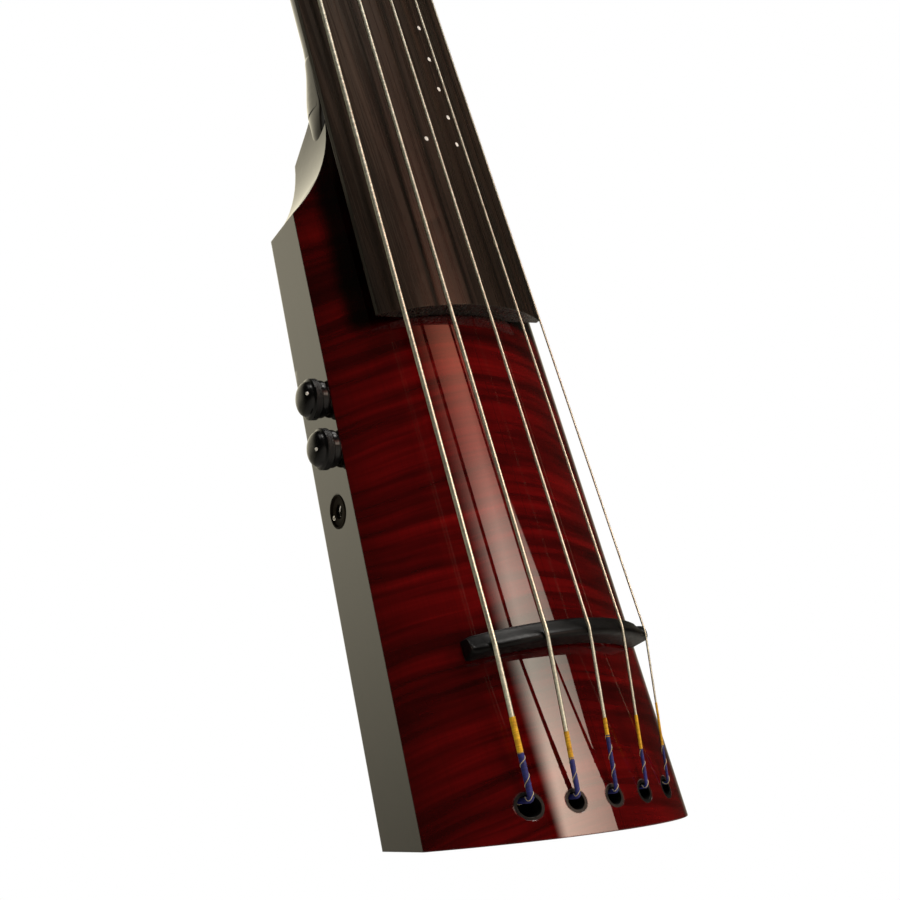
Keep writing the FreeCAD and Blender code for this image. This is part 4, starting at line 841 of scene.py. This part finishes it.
def make_heel():
    """The neck's heel carried on into the body, so that the two meet without a step."""
    rings = []
    round_steps, flat_steps = 48, 12
    for line in HEEL_LINES:
        half, corner, depth, power = heel_slice(line)
        skin = -SKIN if line == HEEL_LINES[-1] else SKIN
        half, depth, corner = half + skin, depth + skin, corner + 0.12
        ring = []
        for k in range(round_steps + 1):
            angle = math.pi * k / round_steps
            x = -half * math.copysign(abs(math.cos(angle)) ** (2 / power), math.cos(angle))
            y = corner + (depth - corner) * abs(math.sin(angle)) ** (2 / power)
            ring.append(Vector((x, y, line)) * MM)
        for k in range(1, flat_steps):
            ring.append(Vector((half * (1 - 2 * k / flat_steps), corner, line)) * MM)
        rings.append(ring)
    count = len(rings[0])
    points = [point for ring in rings for point in ring]
    faces = capped(ring_faces(len(rings), count), len(rings), count)
    build("neck_heel", points, faces, LOOKS["dark_body"], "instrument")


make_heel()


# ---------------------------------------------------------------- socket
FACE_LIFT = 18               # the face of the cup from the middle of the socket's bore, mm
# set so that the eyelet shows where the photo has it, mm
EYELET_PLACE = (-71.556, 53.488, 180.0)


def make_jack_face():
    """The thin black face of the socket cup and the eyelet that shows on it."""
    mount = next(row for row in frame["record"]["mounts"] if row["name"] == "output_socket")
    axis = Vector(mount["axis"]).normalized()
    centre = Vector(mount["pos_m"]) + axis * FACE_LIFT * MM
    rim = [(3.4, -1.3), (7.4, -1.3), (7.4, -0.75), (7.0, -0.65), (3.6, -0.65), (3.4, -0.8)]
    face = spin(in_metres(rim), frame_at(centre, axis), 72, hollow=True)
    build("jack_face", *face, LOOKS["black_plastic"], "instrument")
    ring = [(0.62, -0.9), (1.25, -0.9), (1.25, -0.35), (1.1, -0.2), (0.85, -0.2), (0.62, -0.35)]
    eyelet = spin(in_metres(ring), frame_at(Vector(EYELET_PLACE) * MM, axis), 40, hollow=True)
    build("jack_eyelet", *eyelet, LOOKS["nickel"], "instrument")


make_jack_face()


# ---------------------------------------------------------------- studio
FLOOR_HALF, FLOOR_LINE = 14.0, -0.32


def towards(azimuth, elevation):
    """Direction at an azimuth from the playing side, positive to the right, in degrees."""
    a, e = math.radians(azimuth), math.radians(elevation)
    return Vector((math.sin(a) * math.cos(e), -math.cos(a) * math.cos(e), math.sin(e)))


def make_floor():
    corners = ((-1, -1), (1, -1), (1, 1), (-1, 1))
    points = [(x * FLOOR_HALF, y * FLOOR_HALF, FLOOR_LINE) for x, y in corners]
    mesh = bpy.data.meshes.new("floor")
    mesh.from_pydata(points, [], [(0, 1, 2, 3)])
    look = Look("floor_paint", Roughness=0.7)
    cloud = look.noise(look.position, 3, 3, 0.5)
    look.put("Base Color", look.ramp(cloud, [(0.3, (0.78, 0.78, 0.77)), (0.7, (0.84, 0.84, 0.83))]))
    mesh.materials.append(look.material)
    add_to_scene("floor", mesh)


# strip light: (elevation in degrees, colour and strength)
GLOW = ((5.0, (12.0, 8.8, 7.0)), (8.0, (13.0, 9.7, 7.8)), (11.6, (6.8, 6.5, 5.4)), (15.0, (8.0, 6.3, 5.2)),
        (16.8, (7.0, 4.8, 3.9)), (18.5, (6.3, 3.2, 2.5)), (20.2, (5.0, 2.0, 1.5)), (23.8, (4.2, 1.35, 0.85)),
        (25.5, (2.4, 0.7, 0.45)), (27.5, (0.0, 0.0, 0.0)))
# (elevation, azimuth of the light's right edge), in degrees
RIGHT_EDGE = ((4.0, 40.0), (9.0, 40.0), (12.0, 41.5), (15.0, 40.0), (17.0, 37.5), (19.0, 35.0), (28.0, 34.0))


def between(table, where):
    """Value at a place in a table of (place, number or colour) rows."""
    for (low, first), (high, second) in zip(table, table[1:]):
        if where <= high:
            share = max(0.0, (where - low) / (high - low))
            if isinstance(first, tuple):
                return tuple(a + (b - a) * share for a, b in zip(first, second))
            return first + (second - first) * share
    return table[-1][1]


LIGHT_LOW, LIGHT_TALL = 4.0, 23.5          # its lowest elevation and its extent upwards, degrees
LIGHT_CENTRE, LIGHT_REACH = Vector((0, 0, 0.12)), 2.2


def softbox_glow(azimuth, elevation, right):
    """Colour of the strip light seen at an angle: redder upwards, weaker to both sides of a peak."""
    left = 2.0
    peak = min(17 + (elevation - 12) * 1.2, right - 4)
    rise = eased(max(0.0, min(1.0, (azimuth - left) / (peak - left))))
    fall = 1.0 - 0.55 * max(0.0, min(1.0, (azimuth - peak) / max(right - peak, 1.0)))
    return tuple(part * rise * fall for part in between(GLOW, elevation))


def make_softbox():
    """A curved strip light whose mirror image runs down the crown of the top."""
    columns, rows = 60, 70
    points, glows = [], []
    for row in range(rows + 1):
        elevation = LIGHT_LOW + LIGHT_TALL * row / rows
        right = between(RIGHT_EDGE, elevation)
        for column in range(columns + 1):
            azimuth = right * column / columns
            points.append(LIGHT_CENTRE + towards(azimuth, elevation) * LIGHT_REACH)
            glows += [*softbox_glow(azimuth, elevation, right), 1.0]
    faces = []
    for row in range(rows):
        for column in range(columns):
            at = row * (columns + 1) + column
            faces.append((at, at + 1, at + columns + 2, at + columns + 1))
    mesh = bpy.data.meshes.new("softbox")
    mesh.from_pydata([tuple(point) for point in points], [], faces)
    glow = mesh.attributes.new("glow", "FLOAT_COLOR", "POINT")
    glow.data.foreach_set("color", glows)
    material = bpy.data.materials.new("softbox_light")
    material.use_nodes = True
    material.node_tree.nodes.clear()
    lamp = Nodes(material.node_tree)
    light = lamp.node("ShaderNodeEmission")
    lamp.feed(light.inputs["Color"], lamp.node("ShaderNodeAttribute", attribute_name="glow").outputs["Color"])
    lamp.feed(lamp.node("ShaderNodeOutputMaterial").inputs["Surface"], light.outputs[0])
    mesh.materials.append(material)
    thing = add_to_scene("softbox", mesh)
    thing.visible_camera = False


def area_light(name, azimuth, elevation, distance, size, power):
    """A soft warm-white lamp that faces the lower body from an angle."""
    away = towards(azimuth, elevation)
    data = bpy.data.lights.new(name, "AREA")
    data.shape = "RECTANGLE"
    data.size, data.size_y = size
    data.energy = power
    data.color = (1.0, 0.97, 0.92)
    lamp = add_to_scene(name, data)
    lamp.location = Vector((0, 0, 0.3)) + away * distance
    lamp.rotation_mode = "QUATERNION"
    lamp.rotation_quaternion = away.to_track_quat("Z", "Y")
    lamp.visible_camera = False


def make_world():
    """White to the camera; in reflections, a bright sweep behind and a dark room in front."""
    world = bpy.data.worlds.new("studio")
    bpy.context.scene.world = world
    world.use_nodes = True
    world.node_tree.nodes.clear()
    room = Nodes(world.node_tree)
    parts = room.split(room.node("ShaderNodeTexCoord").outputs["Generated"])
    behind = room.spread(parts[1], 0.40, 0.80)
    lift = room.spread(parts[2], 0.16, 0.46, 0.45, 1.55)
    seen = room.node("ShaderNodeBackground")
    seen.inputs["Color"].default_value = (1, 1, 1, 1)
    lit = room.node("ShaderNodeBackground")
    lit.inputs["Color"].default_value = (1.0, 0.92, 0.70, 1)
    room.feed(lit.inputs["Strength"], room.math("MULTIPLY_ADD", behind, lift, 0.02))
    choose = room.node("ShaderNodeMixShader")
    room.feed(choose.inputs[0], room.node("ShaderNodeLightPath").outputs["Is Camera Ray"])
    room.feed(choose.inputs[1], lit.outputs[0])
    room.feed(choose.inputs[2], seen.outputs[0])
    room.feed(room.node("ShaderNodeOutputWorld").inputs["Surface"], choose.outputs[0])


def make_camera():
    """The photo's viewpoint, from a pinhole camera fitted to strings, dots and edges."""
    data = bpy.data.cameras.new("camera")
    data.lens, data.sensor_width = 94.73, 36.0
    data.clip_start, data.clip_end = 0.01, 100.0
    camera = add_to_scene("camera", data)
    ahead = Vector((0.6532, 0.6889, 0.3144)).normalized()
    up = Vector((0.004, -0.419, 0.908))
    right = ahead.cross(up).normalized()
    up = right.cross(ahead)
    turn = Matrix((right, up, -ahead)).transposed().to_4x4()
    camera.matrix_world = Matrix.Translation((-0.7663, -0.7702, -0.1604)) @ turn
    bpy.context.scene.camera = camera


make_floor()
make_softbox()
area_light("key", 28, 58, 2.6, (1.4, 1.0), 60)
area_light("fill", -50, 66, 2.8, (1.2, 1.2), 12)
make_world()
make_camera()
bpy.context.scene.view_settings.view_transform = "Standard"
